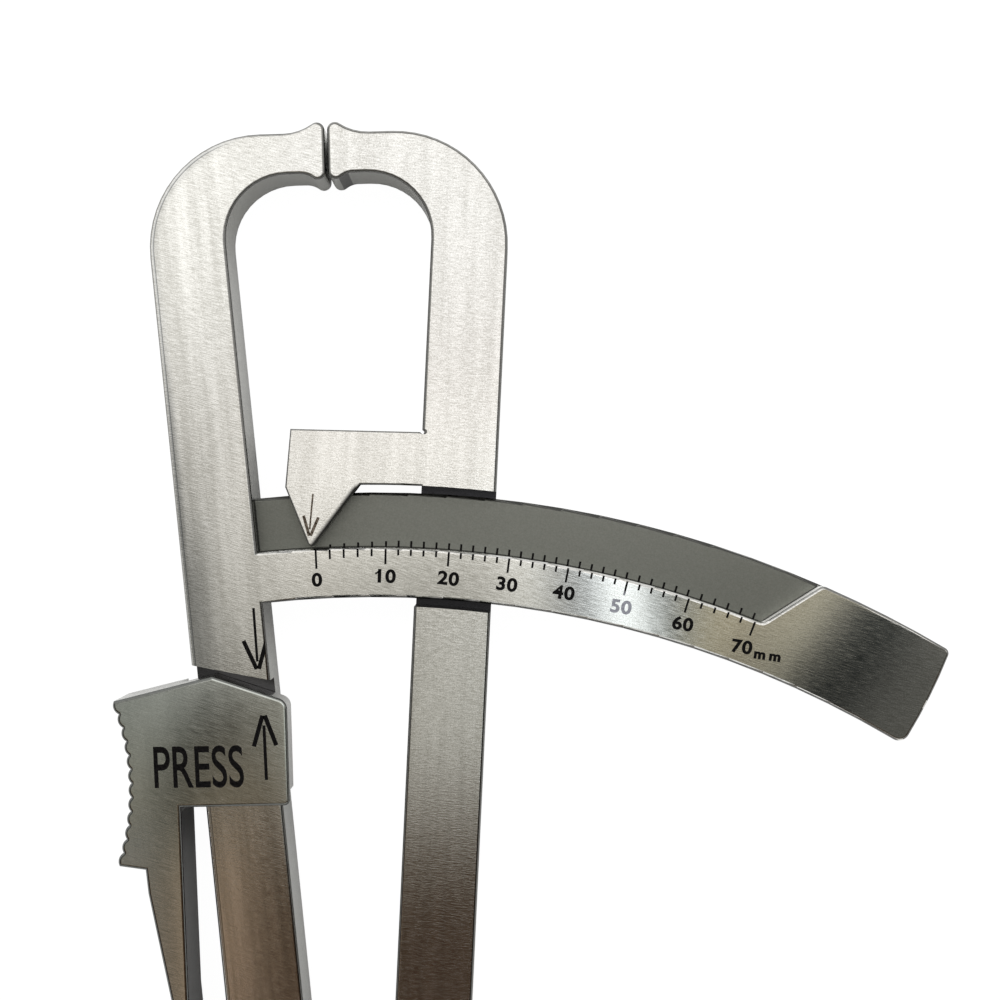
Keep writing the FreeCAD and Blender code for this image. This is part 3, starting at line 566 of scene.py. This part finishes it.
def scale_surface(steel):
    """Finer polish past the arm, no painted outline at the step, a painted shade line on the lower edge."""
    polished = steel.past_arm.ramp(*POLISHED_PAST)
    steel.roughness = steel.roughness - polished * 0.05
    steel.height = steel.height * (1.0 - polished * 0.65)
    beyond = steel.past_arm > -SLACK * MM
    at_step = beyond * ((distance(steel.x, steel.y) - BAND_RADIUS * MM).math("ABSOLUTE") < STEP_REACH * MM)
    from_low = distance(steel.x, steel.y, (SCALE_CENTRE_X, 0.0)) - SCALE_INNER_RADIUS * MM
    off_low_edge = 1.0 - beyond * (from_low < LOW_EDGE * MM)
    # No painted outline on the rims at the step or at the lower edge; a painted shade line runs along the
    # lower edge.
    steel.inner = steel.inner * (1.0 - at_step) * off_low_edge
    steel.outline = steel.outline * (1.0 - at_step * 0.7) * off_low_edge
    steel.paint(beyond * (from_low < LOW_LINE * MM) * 0.85, LINE_SHADE)


def recess_floor(steel):
    """The matt floor of the recess with painted shade in its creases, and the walls beside it:
    a painted highlight on the end wall and painted shade on the wall beside the arm.
    """
    radius = distance(steel.x, steel.y)
    outside = radius > (BAND_RADIUS - SLACK) * MM
    level = (steel.z < (RECESS_FLOOR + 0.05) * MM) * (steel.up > FACES_UP)
    on_floor = (steel.past_arm > -SLACK * MM) * outside * level
    (foot_x, foot_y), (crest_x, crest_y) = RECESS_END
    length = math.hypot(crest_x - foot_x, crest_y - foot_y)
    end_x, end_y = -(crest_y - foot_y) / length, (crest_x - foot_x) / length
    before_end = (steel.x - foot_x * MM) * end_x + (steel.y - foot_y * MM) * end_y
    # Painted shade in the creases at the step, at the end wall and at the arm, and on the floor's rims.
    crease_shade = ((radius < (BAND_RADIUS + CREASE_AT_BAND) * MM)
              .math("MAXIMUM", before_end < CREASE_AT_END * MM)
              .math("MAXIMUM", steel.past_arm < CREASE_AT_ARM * MM))
    rim = on_floor * (steel.up < FLAT_LEAN[0])
    floor_colour = steel.blend_colours(steel.speckle, FLOOR_DARK, FLOOR_LIGHT)
    steel.paint(on_floor, steel.blend_colours(crease_shade * 0.75 + rim * 0.5, floor_colour, SHADE_BLACK))
    # A painted highlight on the end wall, and painted shade on the wall beside the arm.
    towards_end = steel.right * end_x + steel.ahead * end_y
    end_wall = (towards_end > FACES_END_WALL) * (steel.x > END_WALL_FROM * MM)
    on_side = 1.0 - steel.up.ramp(*SIDE_LEAN)
    steel.roughness = steel.roughness + on_floor * FLOOR_DULL + end_wall * on_side * END_WALL_DULL
    steel.paint_sides(end_wall, END_WALL_HIGHLIGHT)
    above_floor = (steel.z > RECESS_FLOOR * MM) * (radius < (SCALE_OUTER_RADIUS + 0.1) * MM)
    arm_wall = (steel.right > FACES_ARM_WALL) * outside * above_floor
    steel.paint_sides(arm_wall * (1.0 - end_wall), ARM_WALL_SHADE)


def outer_edge(steel):
    """The left arm's outer edge: a painted pale sheen on its bevel, a painted dark line behind it,
    and a painted shade that broadens downwards.
    """
    along = steel.y * math.cos(LEAN) - steel.x * math.sin(LEAN)
    on_arch = along > (SHOULDER[1] * math.cos(LEAN) - SHOULDER[0] * math.sin(LEAN)) * MM
    from_edge = (on_arch * (SHOULDER_RADIUS * MM - distance(steel.x, steel.y, SHOULDER))
                 + (1.0 - on_arch) * (steel.past_arm + ARM_WIDTH * MM))
    front = (steel.up > FLAT_LEAN[0]) * (steel.z > (ARM_FRONT - 0.2) * MM)
    face = front * (1.0 - steel.x.ramp(*EDGE_FADE))
    # A painted pale sheen on the bevel, a painted dark line at its end, and painted shade.
    bevel = face * (from_edge < BEVEL_END * MM)
    steel.paint(bevel * 0.5, BEVEL_SHEEN)
    steel.paint(bevel * (from_edge > (BEVEL_END - BEVEL_LINE) * MM) * 0.55, LINE_SHADE)
    narrow = (1.0 - from_edge.ramp(*NARROW_SHADE)) * (EDGE_SHADE - steel.y.ramp(*NARROW_TO) * 0.3)
    broad = (1.0 - from_edge.ramp(*BROAD_SHADE)) * (1.0 - steel.y.ramp(*BROAD_BELOW)) * EDGE_SHADE
    behind_rim = from_edge.ramp(0.0001, 0.0006) * steel.y.ramp(*SHADE_FROM)
    steel.paint(narrow.math("MAXIMUM", broad) * behind_rim * face, EDGE_SHADE_TINT)


def dark_floor(steel, depth, shade):
    """A level floor at this height in millimetres, out of the light."""
    at_depth = (steel.z > (depth - 0.1) * MM) * (steel.z < (depth + 0.1) * MM)
    steel.paint(at_depth * (steel.up > FACES_UP), shade)


NOTCH_FLOOR, SLOT_FLOOR = (5.2, (0.085, 0.085, 0.090)), (2.8, (0.03, 0.03, 0.033))
print("recess floor from", BAND_RADIUS, "mm, shade from y", SHADE_FROM[0], "m")

# %% Areas of the right arm and the lever
POINTER_LIMIT = 3.1  # the pointer lies left of this x
POINTER_TOP = (0.1300, 0.1308)  # y in metres, where its flank ends
POINTER_EDGE = ((-0.56, 126.50), (0.619, 0.785))  # a place on the flank's edge, and its direction
# A painted shade band runs along the pointer's flank.
FLANK_SHADE_SPAN = (-0.0005, 0.00005)  # metres, from the face to the flank
# A painted shade in the corner between the pointer's foot and the arm.
FOOT_CORNER, CORNER_REACH, CORNER_SHADE = (10.44, 136.37), 0.30, (0.02, 0.02, 0.02)
FACES_RIGHT, FACES_FLANK = 0.5, 0.3  # how far a wall is turned to the right, up to 1
# A painted brown reflection on the lever's walls that face right.
STEM_REFLECTION = (0.030, 0.022, 0.016)


def pointer_edge(steel):
    """Painted shade along the pointer's flank, on the wall under it, and in the corner between foot and arm.
    """
    on_pointer = steel.x < POINTER_LIMIT * MM
    (edge_x, edge_y), (along_x, along_y) = POINTER_EDGE
    from_flank = (steel.x - edge_x * MM) * along_y - (steel.y - edge_y * MM) * along_x
    # Painted shade: the band along the flank, the walls that face right, and the corner.
    flank_shade = from_flank.ramp(*FLANK_SHADE_SPAN) * (1.0 - steel.y.ramp(*POINTER_TOP)) * on_pointer
    steel.paint(flank_shade, SHADE_BLACK)
    steel.paint_sides((steel.right > FACES_FLANK) * on_pointer, SHADE_BLACK)
    in_corner = distance(steel.x, steel.y, FOOT_CORNER) < CORNER_REACH * MM
    steel.paint(in_corner * 0.85, CORNER_SHADE)


def brown_wall(steel, below):
    """The walls that face right, up to this y in metres, get a painted brown reflection."""
    steel.paint_sides((steel.right > FACES_RIGHT) * (steel.y < below), STEM_REFLECTION)


print("pointer's edge ends at x", POINTER_LIMIT, "mm")

# %% Five steels
STEEL_DARK, STEEL_LIGHT, STEEL_SIDE = (0.62, 0.612, 0.575), (1.0, 0.995, 0.965), (0.56, 0.56, 0.53)
CALM_BELOW = (0.084, 0.104)  # y in metres
STEM_TOP = 0.0935

arm_steel = brushed_steel("arm_steel", STEEL_DARK, STEEL_LIGHT, STEEL_SIDE, gloss=0.16, lit=(-1.0, 0.3),
                          rim_shade=(0.0, 0.8), calm_below=CALM_BELOW, fade_past=(-0.001, 0.004),
                          areas=[(scale_surface,), (recess_floor,), (outer_edge,),
                                 (dark_floor, *NOTCH_FLOOR)])
right_steel = brushed_steel("arm_steel_right", STEEL_DARK, STEEL_LIGHT, STEEL_SIDE, grain=(1.8, 1.8, 0.9),
                            angle_deg=-8, dash=(0.0008, 0.00012), lean_deg=-ARM_LEAN_DEG, lit=(0.0, 1.0),
                            rim_shade=(0.85, 0.95), calm_below=CALM_BELOW,
                            areas=[(pointer_edge,), (dark_floor, *SLOT_FLOOR)])
lever_steel = brushed_steel("lever_steel", (0.56, 0.59, 0.555), (0.90, 0.935, 0.90), STEEL_SIDE,
                            grain=(1.7, 0.8, 0.6), angle_deg=-20, dash=(0.0020, 0.00009), gloss=0.14,
                            relief=0.3, rim_shade=(1.0, 0.15), areas=[(brown_wall, STEM_TOP)])
plate_steel = brushed_steel("plate_steel", (0.42, 0.42, 0.40), (0.58, 0.58, 0.55), (0.30, 0.30, 0.28),
                            angle_deg=ARM_LEAN_DEG + 90, grain=(1.0, 1.5, 0.7))
spring_steel = brushed_steel("spring_steel", (0.34, 0.35, 0.36), (0.46, 0.47, 0.48), (0.28, 0.29, 0.30),
                             angle_deg=ARM_LEAN_DEG + 90, dash=(0.004, 0.0001), grain=(1.0, 1.5, 0.7))
print("five steels")

# %% [markdown]
# ## Turned and moulded finishes
# Bolts, nuts and rivets are turned, so their tool marks are rings, drawn here about the pivot. The
# bronze bush is cast and turned, and the washers are a smooth pale bearing plastic.

# %% Fasteners, bush and washers
def turned_metal(name, dark, light, gloss, ring_pitch=0.00012):
    """Metal with fine rings about the pivot."""
    material, board = blank_material(name)
    place = board.add("ShaderNodeTexCoord", out="Object")
    x, y, z = board.split(place)
    ring_place = board.add("ShaderNodeCombineXYZ", values={
        0: distance(x, y) / ring_pitch, 1: 0.0, 2: z / ring_pitch})
    rings = board.add("ShaderNodeTexNoise", values={"Vector": ring_place, "Scale": 1.0, "Detail": 2.0})
    stains = noise(board, place, 0.004)
    colour = board.blend_colours((0.5 + (rings - 0.5) * 1.2 + (stains - 0.5) * 0.8).clamped(), dark, light)
    finish_metal(board, colour, gloss + (rings - 0.5) * 0.15, rings)
    return material


def moulded_plastic(name, dark, light):
    """Smooth plastic with a faint grain from its mould."""
    material, board = blank_material(name)
    place = board.add("ShaderNodeTexCoord", out="Object")
    grain = noise(board, place, 0.0004, 3.0)
    normal = board.add("ShaderNodeBump", values={"Strength": 0.4, "Distance": 0.00003, "Height": grain})
    plastic = board.add("ShaderNodeBsdfPrincipled", values={
        "Base Color": board.blend_colours(grain, dark, light),
        "Roughness": 0.42 + (grain - 0.5) * 0.2, "Normal": normal})
    board.show(plastic)
    return material


fastener_steel = turned_metal("fastener_steel", (0.50, 0.50, 0.49), (0.70, 0.70, 0.68), 0.27)
bush_bronze = turned_metal("bush_bronze", (0.50, 0.33, 0.14), (0.70, 0.50, 0.24), 0.30)
washer_polymer = moulded_plastic("washer_polymer", (0.72, 0.71, 0.66), (0.84, 0.83, 0.78))
print("fasteners, bush and washers")

# %% [markdown]
# ## Refined pieces
# The CAD meshes are loose triangles. Each shown piece is a copy with its doubles merged and its
# flat areas dissolved into single faces. A small bevel then breaks the edges that milling leaves
# sharp, so that they catch the light as real edges do, and angles under 30 degrees shade smoothly.

# %% Copy, merge and break the edges
FINISH = {  # node: material, slot, edge break in millimetres
    "left_arm": (arm_steel, "arm_steel", 0.10),
    "right_arm": (right_steel, "arm_steel", 0.16),
    "press_lever": (lever_steel, "lever_steel", 0.10),
    "leaf_clamp_plate": (plate_steel, "lever_steel", 0.15),
    "leaf_screw_upper": (fastener_steel, "fastener_steel", 0.05),
    "leaf_screw_lower": (fastener_steel, "fastener_steel", 0.05),
    "lever_rivet_upper": (fastener_steel, "fastener_steel", 0.05),
    "lever_rivet_lower": (fastener_steel, "fastener_steel", 0.05),
    "pivot_bolt": (fastener_steel, "fastener_steel", 0.08),
    "pivot_nut": (fastener_steel, "fastener_steel", 0.08),
    "pivot_bush": (bush_bronze, "bush_bronze", 0.05),
    "lug_washer": (washer_polymer, "washer_polymer", 0.05),
    "head_washer": (washer_polymer, "washer_polymer", 0.05),
    "disc_spring": (spring_steel, "spring_steel", 0.04),
}
SMOOTH_BELOW, FLAT_BELOW = math.radians(30), math.radians(0.6)
SAME_PLACE = 1e-6  # corners closer than this, in metres, are one
BODY_OF = {node: body for body, nodes in frame["record"]["behaviour"]["bodies"].items() for node in nodes}


def add_object(name, mesh, material):
    """A mesh as an object in the scene, with one material."""
    piece = in_scene(name, mesh)
    mesh.materials.clear()
    mesh.materials.append(material)
    return piece


def applied(piece):
    """The piece with its modifiers worked into a plain mesh."""
    evaluated = piece.evaluated_get(bpy.context.evaluated_depsgraph_get())
    mesh = bpy.data.meshes.new_from_object(evaluated)
    piece.modifiers.clear()
    piece.data = mesh
    return piece


def refined(node, material, edge_break):
    """A copy of a CAD node with whole faces and broken edges."""
    mesh = frame["nodes"][node].data.copy()
    work = bmesh.new()
    work.from_mesh(mesh)
    bmesh.ops.remove_doubles(work, verts=work.verts, dist=SAME_PLACE)
    bmesh.ops.dissolve_limit(work, angle_limit=FLAT_BELOW, verts=work.verts, edges=work.edges)
    work.to_mesh(mesh)
    work.free()
    piece = add_object(node + "_refined", mesh, material)
    bevel = piece.modifiers.new("edge_break", "BEVEL")
    bevel.width = edge_break * MM
    bevel.segments = 2
    bevel.limit_method = "ANGLE"
    bevel.angle_limit = SMOOTH_BELOW
    bevel.use_clamp_overlap = True
    applied(piece)
    piece.data.shade_smooth()
    piece.data.set_sharp_from_angle(angle=SMOOTH_BELOW)
    even = piece.modifiers.new("flat_faces_first", "WEIGHTED_NORMAL")
    even.keep_sharp = True
    even.weight = 100
    return applied(piece)


for node, (material, slot, edge_break) in FINISH.items():
    piece = refined(node, material, edge_break)
    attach(piece, BODY_OF[node])
    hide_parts(node)
    print(piece.name, len(piece.data.polygons), "faces on", BODY_OF[node])

# %% [markdown]
# ## Leaf spring
# The lever has no pin. It hangs on a steel leaf, clamped to the arm at one end and riveted to the
# lever at the other, and the free length between them bends. The strip is divided along its
# length into short steps.

# %% Leaf
LEAF_INNER, LEAF_OUTER = 2.65, 4.05  # out from the arm's outer edge
LEAF_LOW, LEAF_HIGH = 0.5, 8.5
LEAF_FOOT, LEAF_TOP = 18.0, 68.0
LEAF_ROUND, LEAF_STEPS = 0.25, 60


def along_left(up, out, z=0.0):
    """Millimetres up the left arm from the pivot, and out from its outer edge, as a place in metres."""
    across = ARM_WIDTH + out
    return Vector((-up * math.sin(LEAN) - across * math.cos(LEAN),
                   up * math.cos(LEAN) - across * math.sin(LEAN), z)) * MM


work = bmesh.new()
section = [(LEAF_INNER, LEAF_LOW), (LEAF_OUTER, LEAF_LOW), (LEAF_OUTER, LEAF_HIGH), (LEAF_INNER, LEAF_HIGH)]
rings = []
for step in range(LEAF_STEPS + 1):
    up = LEAF_FOOT + (LEAF_TOP - LEAF_FOOT) * step / LEAF_STEPS
    rings.append([work.verts.new(along_left(up, out, z)) for out, z in section])
for here, there in zip(rings, rings[1:]):
    for side in range(4):
        work.faces.new((here[side], there[side], there[side - 3], here[side - 3]))
work.faces.new(rings[0])
work.faces.new(reversed(rings[-1]))
bmesh.ops.recalc_face_normals(work, faces=work.faces)
long_edges = [e for e in work.edges
              if e.is_manifold and e.calc_face_angle(0) > 1 and abs((e.verts[0].co - e.verts[1].co).z) < 1e-7]
bmesh.ops.bevel(work, geom=long_edges, offset=LEAF_ROUND * MM, segments=2, affect="EDGES",
                clamp_overlap=True)
mesh = bpy.data.meshes.new("lever_leaf_strip")
work.to_mesh(mesh)
work.free()
leaf = add_object("lever_leaf_strip", mesh, spring_steel)
leaf.data.shade_smooth()
leaf.data.set_sharp_from_angle(angle=SMOOTH_BELOW)
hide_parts("lever_leaf")
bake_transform(leaf)
print("leaf:", len(leaf.data.polygons), "faces")

# %% [markdown]
# ## Scale divisions
# The divisions are burnt into the steel: one every 2 mm, partly on the raised band and partly on
# the recess floor beside it, with the worn step between them left bare. Every fifth one is
# longer, and near zero the marks lie a little closer to the pivot. They are one small bar, repeated
# by Geometry Nodes on points that carry each bar's direction and length.

# %% Points for the divisions
DECADES_DEG = [-1.14, 2.61, 6.00, 9.25, 12.45, 15.69, 19.11, 22.86]  # directions of 0, 10 ... 70
PER_DECADE = 5
STROKE = 0.24
MARK_HEIGHT = 0.024  # half of it lies in the steel
SHORT_END, LONG_END, FLOOR_END = 0.88, 1.85, 0.78
FLOOR_SHIFT_DEG = -0.04  # the floor's part of each division against the band's
EDGE_GAP = 0.18  # left bare on the band's rounded edge
ZERO_SLIDE = 0.5  # the marks lie this much closer to the pivot at zero
SLIDE_ENDS = 1.2  # decades up to where they do


def division_deg(index):
    """Direction of a division, evenly spaced inside its ten millimetres."""
    decade, part = divmod(index, PER_DECADE)
    if decade == len(DECADES_DEG) - 1:
        return DECADES_DEG[-1]
    return DECADES_DEG[decade] + (DECADES_DEG[decade + 1] - DECADES_DEG[decade]) * part / PER_DECADE


def slide(decades):
    """How much closer to the pivot the marks lie at this many tens of millimetres."""
    return ZERO_SLIDE * max(0.0, 1 - decades / SLIDE_ENDS)


bars = []  # middle, turn and length of each bar
for index in range((len(DECADES_DEG) - 1) * PER_DECADE + 1):
    turn = division_deg(index)
    shift = slide(index / PER_DECADE)
    near = BAND_RADIUS - (LONG_END if index % PER_DECADE == 0 else SHORT_END) - shift
    far = BAND_RADIUS - EDGE_GAP
    bars.append((polar((near + far) / 2, turn) + Vector((0, 0, ARM_FRONT)), turn, far - near))
    if index > 0:
        far = FLOOR_END - shift
        bars.append((polar(BAND_RADIUS + far / 2, turn + FLOOR_SHIFT_DEG) + Vector((0, 0, RECESS_FLOOR)),
                     turn, far))

points = bpy.data.meshes.new("division_points")
points.from_pydata([tuple(middle * MM) for middle, turn, length in bars], [], [])
for name, values in (("turn", [-math.radians(turn) for middle, turn, length in bars]),
                     ("length", [length * MM for middle, turn, length in bars])):
    points.attributes.new(name, "FLOAT", "POINT").data.foreach_set("value", values)
print(len(bars), "bars")

# %% [markdown]
# ## Burnt marks
# A laser burns the marks as a thin dark oxide. It hides most of the steel's gloss and is a little
# uneven, so a fine noise blends two darks. About the figure 50 a painted highlight turns them pale.

# %% Oxide
# A painted highlight makes the marks pale about the figure 50.
GLEAM_PLACE, GLEAM_REACH = (32.5, 115.6), (0.0014, 0.0021)  # millimetres, and metres from there
GLEAM_DARK, GLEAM_LIGHT = (0.10, 0.10, 0.12), (0.42, 0.43, 0.47)


def burnt_mark(name, dark, light, painted_gleam=False):
    """Dark oxide, a little uneven, and with a painted highlight that turns it pale about one place."""
    material, board = blank_material(name)
    place = board.add("ShaderNodeTexCoord", out="Object")
    patch = noise(board, place, 0.00025, 2.0)
    colour = board.blend_colours(patch.ramp(0.3, 0.7), dark, light)
    if painted_gleam:
        x, y, z = board.split(place)
        near = 1.0 - distance(x, y, GLEAM_PLACE).ramp(*GLEAM_REACH)
        colour = board.blend_colours(near, colour, board.blend_colours(patch, GLEAM_DARK, GLEAM_LIGHT))
    oxide = board.add("ShaderNodeBsdfPrincipled", values={
        "Base Color": colour,
        "Roughness": 0.55 + (patch - 0.5) * 0.3, "Specular IOR Level": 0.02})
    board.show(oxide)
    return material


mark_black = burnt_mark("mark_black", (0.003, 0.003, 0.003), (0.009, 0.008, 0.008), painted_gleam=True)
mark_tint = burnt_mark("mark_tint", (0.030, 0.022, 0.015), (0.165, 0.135, 0.105))
print("two mark colours")

# %% [markdown]
# ## Bars on the points
# The tree takes one cube, one long in Y, and puts a copy on each point. The point's own turn and
# length, read by name, set the copy. It ends in real faces, because only those can be handed over.

# %% Bars by Geometry Nodes
def bars_tree():
    """Points become bars of this stroke and height, turned and stretched as each point says."""
    tree = bpy.data.node_groups.new("division_bars", "GeometryNodeTree")
    for name, kind in (("Points", "Geometry"), ("Stroke", "Float"), ("Height", "Float"),
                       ("Material", "Material")):
        tree.interface.new_socket(name, in_out="INPUT", socket_type="NodeSocket" + kind)
    tree.interface.new_socket("Bars", in_out="OUTPUT", socket_type="NodeSocketGeometry")
    new, link = tree.nodes.new, tree.links.new
    given, made = new("NodeGroupInput"), new("NodeGroupOutput")
    size, bar = new("ShaderNodeCombineXYZ"), new("GeometryNodeMeshCube")
    put = new("GeometryNodeInstanceOnPoints")
    link(given.outputs["Stroke"], size.inputs["X"])
    size.inputs["Y"].default_value = 1.0
    link(given.outputs["Height"], size.inputs["Z"])
    link(size.outputs[0], bar.inputs["Size"])
    turn, length = [new("GeometryNodeInputNamedAttribute") for attribute in range(2)]
    for attribute, name in ((turn, "turn"), (length, "length")):
        attribute.inputs["Name"].default_value = name
    turns, stretch = new("ShaderNodeCombineXYZ"), new("ShaderNodeCombineXYZ")
    link(turn.outputs[0], turns.inputs["Z"])
    stretch.inputs["X"].default_value = stretch.inputs["Z"].default_value = 1.0
    link(length.outputs[0], stretch.inputs["Y"])
    to_turn = new("FunctionNodeEulerToRotation")
    link(turns.outputs[0], to_turn.inputs[0])
    link(given.outputs["Points"], put.inputs["Points"])
    link(bar.outputs["Mesh"], put.inputs["Instance"])
    link(to_turn.outputs[0], put.inputs["Rotation"])
    link(stretch.outputs[0], put.inputs["Scale"])
    real, coat = new("GeometryNodeRealizeInstances"), new("GeometryNodeSetMaterial")
    link(put.outputs[0], real.inputs[0])
    link(real.outputs[0], coat.inputs["Geometry"])
    link(given.outputs["Material"], coat.inputs["Material"])
    link(coat.outputs[0], made.inputs[0])
    return tree


divisions = in_scene("scale_divisions", points)
repeat = divisions.modifiers.new("bars", "NODES")
repeat.node_group = bars_tree()
inputs = {item.name: item.identifier for item in repeat.node_group.interface.items_tree
          if item.in_out == "INPUT"}
repeat[inputs["Stroke"]] = STROKE * MM
repeat[inputs["Height"]] = MARK_HEIGHT * MM
repeat[inputs["Material"]] = mark_black
applied(divisions)
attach(divisions, "scale_arm")
print("divisions:", len(divisions.data.polygons), "faces")

# %% [markdown]
# ## Figures and the word on the lever
# Text objects make the figures. Each is turned into a mesh, brought to its exact height, set on
# the arc and laid on the surface, with half its thickness in the steel.

# %% Lettering
def lettering(words, height, centre, z, right_deg, up_deg, squeeze=1.0, weight=0.0, spacing=1.0):
    """A mesh of words, this high in millimetres, centred here, with its own right and up directions."""
    data = bpy.data.curves.new("words", "FONT")
    data.body = words
    data.align_x = "CENTER"
    data.offset = weight
    data.space_character = spacing
    data.extrude = 0.01
    data.resolution_u = 6
    writing = in_scene("words", data)
    bpy.context.view_layer.update()
    mesh = bpy.data.meshes.new_from_object(writing.evaluated_get(bpy.context.evaluated_depsgraph_get()))
    bpy.data.objects.remove(writing)
    low = Vector([min(v.co[i] for v in mesh.vertices) for i in range(3)])
    high = Vector([max(v.co[i] for v in mesh.vertices) for i in range(3)])
    middle = (low + high) / 2
    right, up = [Vector((math.cos(math.radians(turn)), math.sin(math.radians(turn)), 0))
                 for turn in (right_deg, up_deg)]
    size = height / (high.y - low.y)
    for vertex in mesh.vertices:
        local = (vertex.co - middle) * size
        flat = right * local.x * squeeze + up * local.y
        depth = math.copysign(MARK_HEIGHT / 2, local.z)
        vertex.co = (Vector((centre[0], centre[1], z + depth)) + flat) * MM
    return mesh


def gathered(name, meshes, material):
    """One piece made of several small meshes."""
    work = bmesh.new()
    for mesh in meshes:
        work.from_mesh(mesh)
    bmesh.ops.remove_doubles(work, verts=work.verts, dist=1e-8)
    bmesh.ops.recalc_face_normals(work, faces=work.faces)
    mesh = bpy.data.meshes.new(name)
    work.to_mesh(mesh)
    work.free()
    return add_object(name, mesh, material)


FIGURE_HEIGHT, FIGURE_WEIGHT, FIGURE_STRETCH, FIGURE_SPACING = 1.62, 0.036, 1.13, 1.08
FIGURES = [  # 0, 10 ... 70: reach from the pivot, direction, turn of the figure
    (119.70, -1.14, -1.1), (120.01, 2.70, 4.0), (120.10, 6.08, 8.5), (120.15, 9.31, 9.6),
    (120.26, 12.45, 10.0), (120.10, 15.69, 10.8), (120.18, 19.20, 11.5), (119.92, 22.68, 10.5),
]
UNIT_HEIGHT, UNIT_PLACE, UNIT_TURN = 0.86, (119.95, 24.17), 10.0
figures = []
for decade, (reach, direction, turn) in enumerate(FIGURES):
    figures.append(lettering(str(10 * decade), FIGURE_HEIGHT, polar(reach, direction), ARM_FRONT, -turn,
                             90 - turn, squeeze=FIGURE_STRETCH, weight=FIGURE_WEIGHT, spacing=FIGURE_SPACING))
figures.append(lettering("m m", UNIT_HEIGHT, polar(*UNIT_PLACE), ARM_FRONT, -UNIT_TURN, 90 - UNIT_TURN,
                         squeeze=1.15, weight=0.05, spacing=0.95))
scale_figures = gathered("scale_figures", figures, mark_black)
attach(scale_figures, "scale_arm")

WORD_CENTRE = (-16.4, 98.68)
WORD_HEIGHT, WORD_SQUEEZE, WORD_TURNS = 4.85, 0.62, (-0.76, 91.1)
word = gathered("lever_word", [lettering("PRESS", WORD_HEIGHT, WORD_CENTRE, LEVER_FRONT, *WORD_TURNS,
                                         squeeze=WORD_SQUEEZE, weight=0.008)], mark_black)
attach(word, "thumb_lever")
print("figures", len(scale_figures.data.polygons), "word", len(word.data.polygons))

# %% [markdown]
# ## Arrows
# Two arrows face each other across the gap between arm and lever: they line up when the jaws press
# with their set force. A third, burnt at lower power and so only tinted, sits on the pointer.
# Each is three flat strokes with square ends. One more short stroke is the flag of the 1.

# %% Strokes and arrows
def stroke(start, end, width, z, cut=0.0):
    """A flat bar between two places in millimetres; its right border ends earlier by the cut."""
    start, end = Vector((*start, 0)), Vector((*end, 0))
    forward = (end - start).normalized()
    side = forward.cross(Vector((0, 0, 1))) * width / 2
    corners = [start - side, start + side, end + side - forward * cut, end - side]
    rims = [[(c + Vector((0, 0, z + depth))) * MM for c in corners]
            for depth in (-MARK_HEIGHT / 2, MARK_HEIGHT / 2)]
    mesh = bpy.data.meshes.new("stroke")
    faces = [(3, 2, 1, 0), (4, 5, 6, 7)] + [(i, (i + 1) % 4, (i + 1) % 4 + 4, i + 4) for i in range(4)]
    mesh.from_pydata([tuple(p) for p in rims[0] + rims[1]], [], faces)
    return mesh


def burnt_strokes(name, strokes, z, material, body):
    """One mark of several strokes, each with its start, end, width and, if it has one, its cut."""
    flat_bars = [stroke(start, end, width, z, *cut) for start, end, width, *cut in strokes]
    piece = gathered(name, flat_bars, material)
    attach(piece, body)
    return piece


LEVER_ARROW = [((-8.81, 103.22), (-8.69, 96.97), 0.36), ((-10.02, 100.85), (-8.95, 104.35), 0.50),
               ((-8.69, 104.35), (-7.45, 100.90), 0.50)]
ARM_ARROW = [((-9.77, 116.63), (-9.49, 110.47), 0.30), ((-11.02, 112.89), (-9.58, 109.60), 0.48),
             ((-9.33, 109.60), (-8.40, 112.83), 0.48, 1.32)]
POINTER_ARROW = [((-2.58, 129.55), (-3.06, 125.50), 0.20), ((-3.72, 127.10), (-3.14, 124.75), 0.34),
                 ((-2.02, 126.85), (-2.98, 124.75), 0.34)]
FLAG_OF_ONE = [((4.86, 120.50), (4.34, 120.18), 0.20)]
burnt_strokes("lever_arrow", LEVER_ARROW, LEVER_FRONT, mark_black, "thumb_lever")
burnt_strokes("arm_arrow", ARM_ARROW, ARM_FRONT, mark_black, "scale_arm")
burnt_strokes("pointer_arrow", POINTER_ARROW, ARM_FRONT, mark_tint, "pointer_arm")
burnt_strokes("flag_of_one", FLAG_OF_ONE, ARM_FRONT, mark_black, "scale_arm")
print("three arrows and a flag")

# %% [markdown]
# ## View transform
# The picture is shown through the Standard view transform.

# %% View transform
bpy.context.scene.view_settings.view_transform = "Standard"
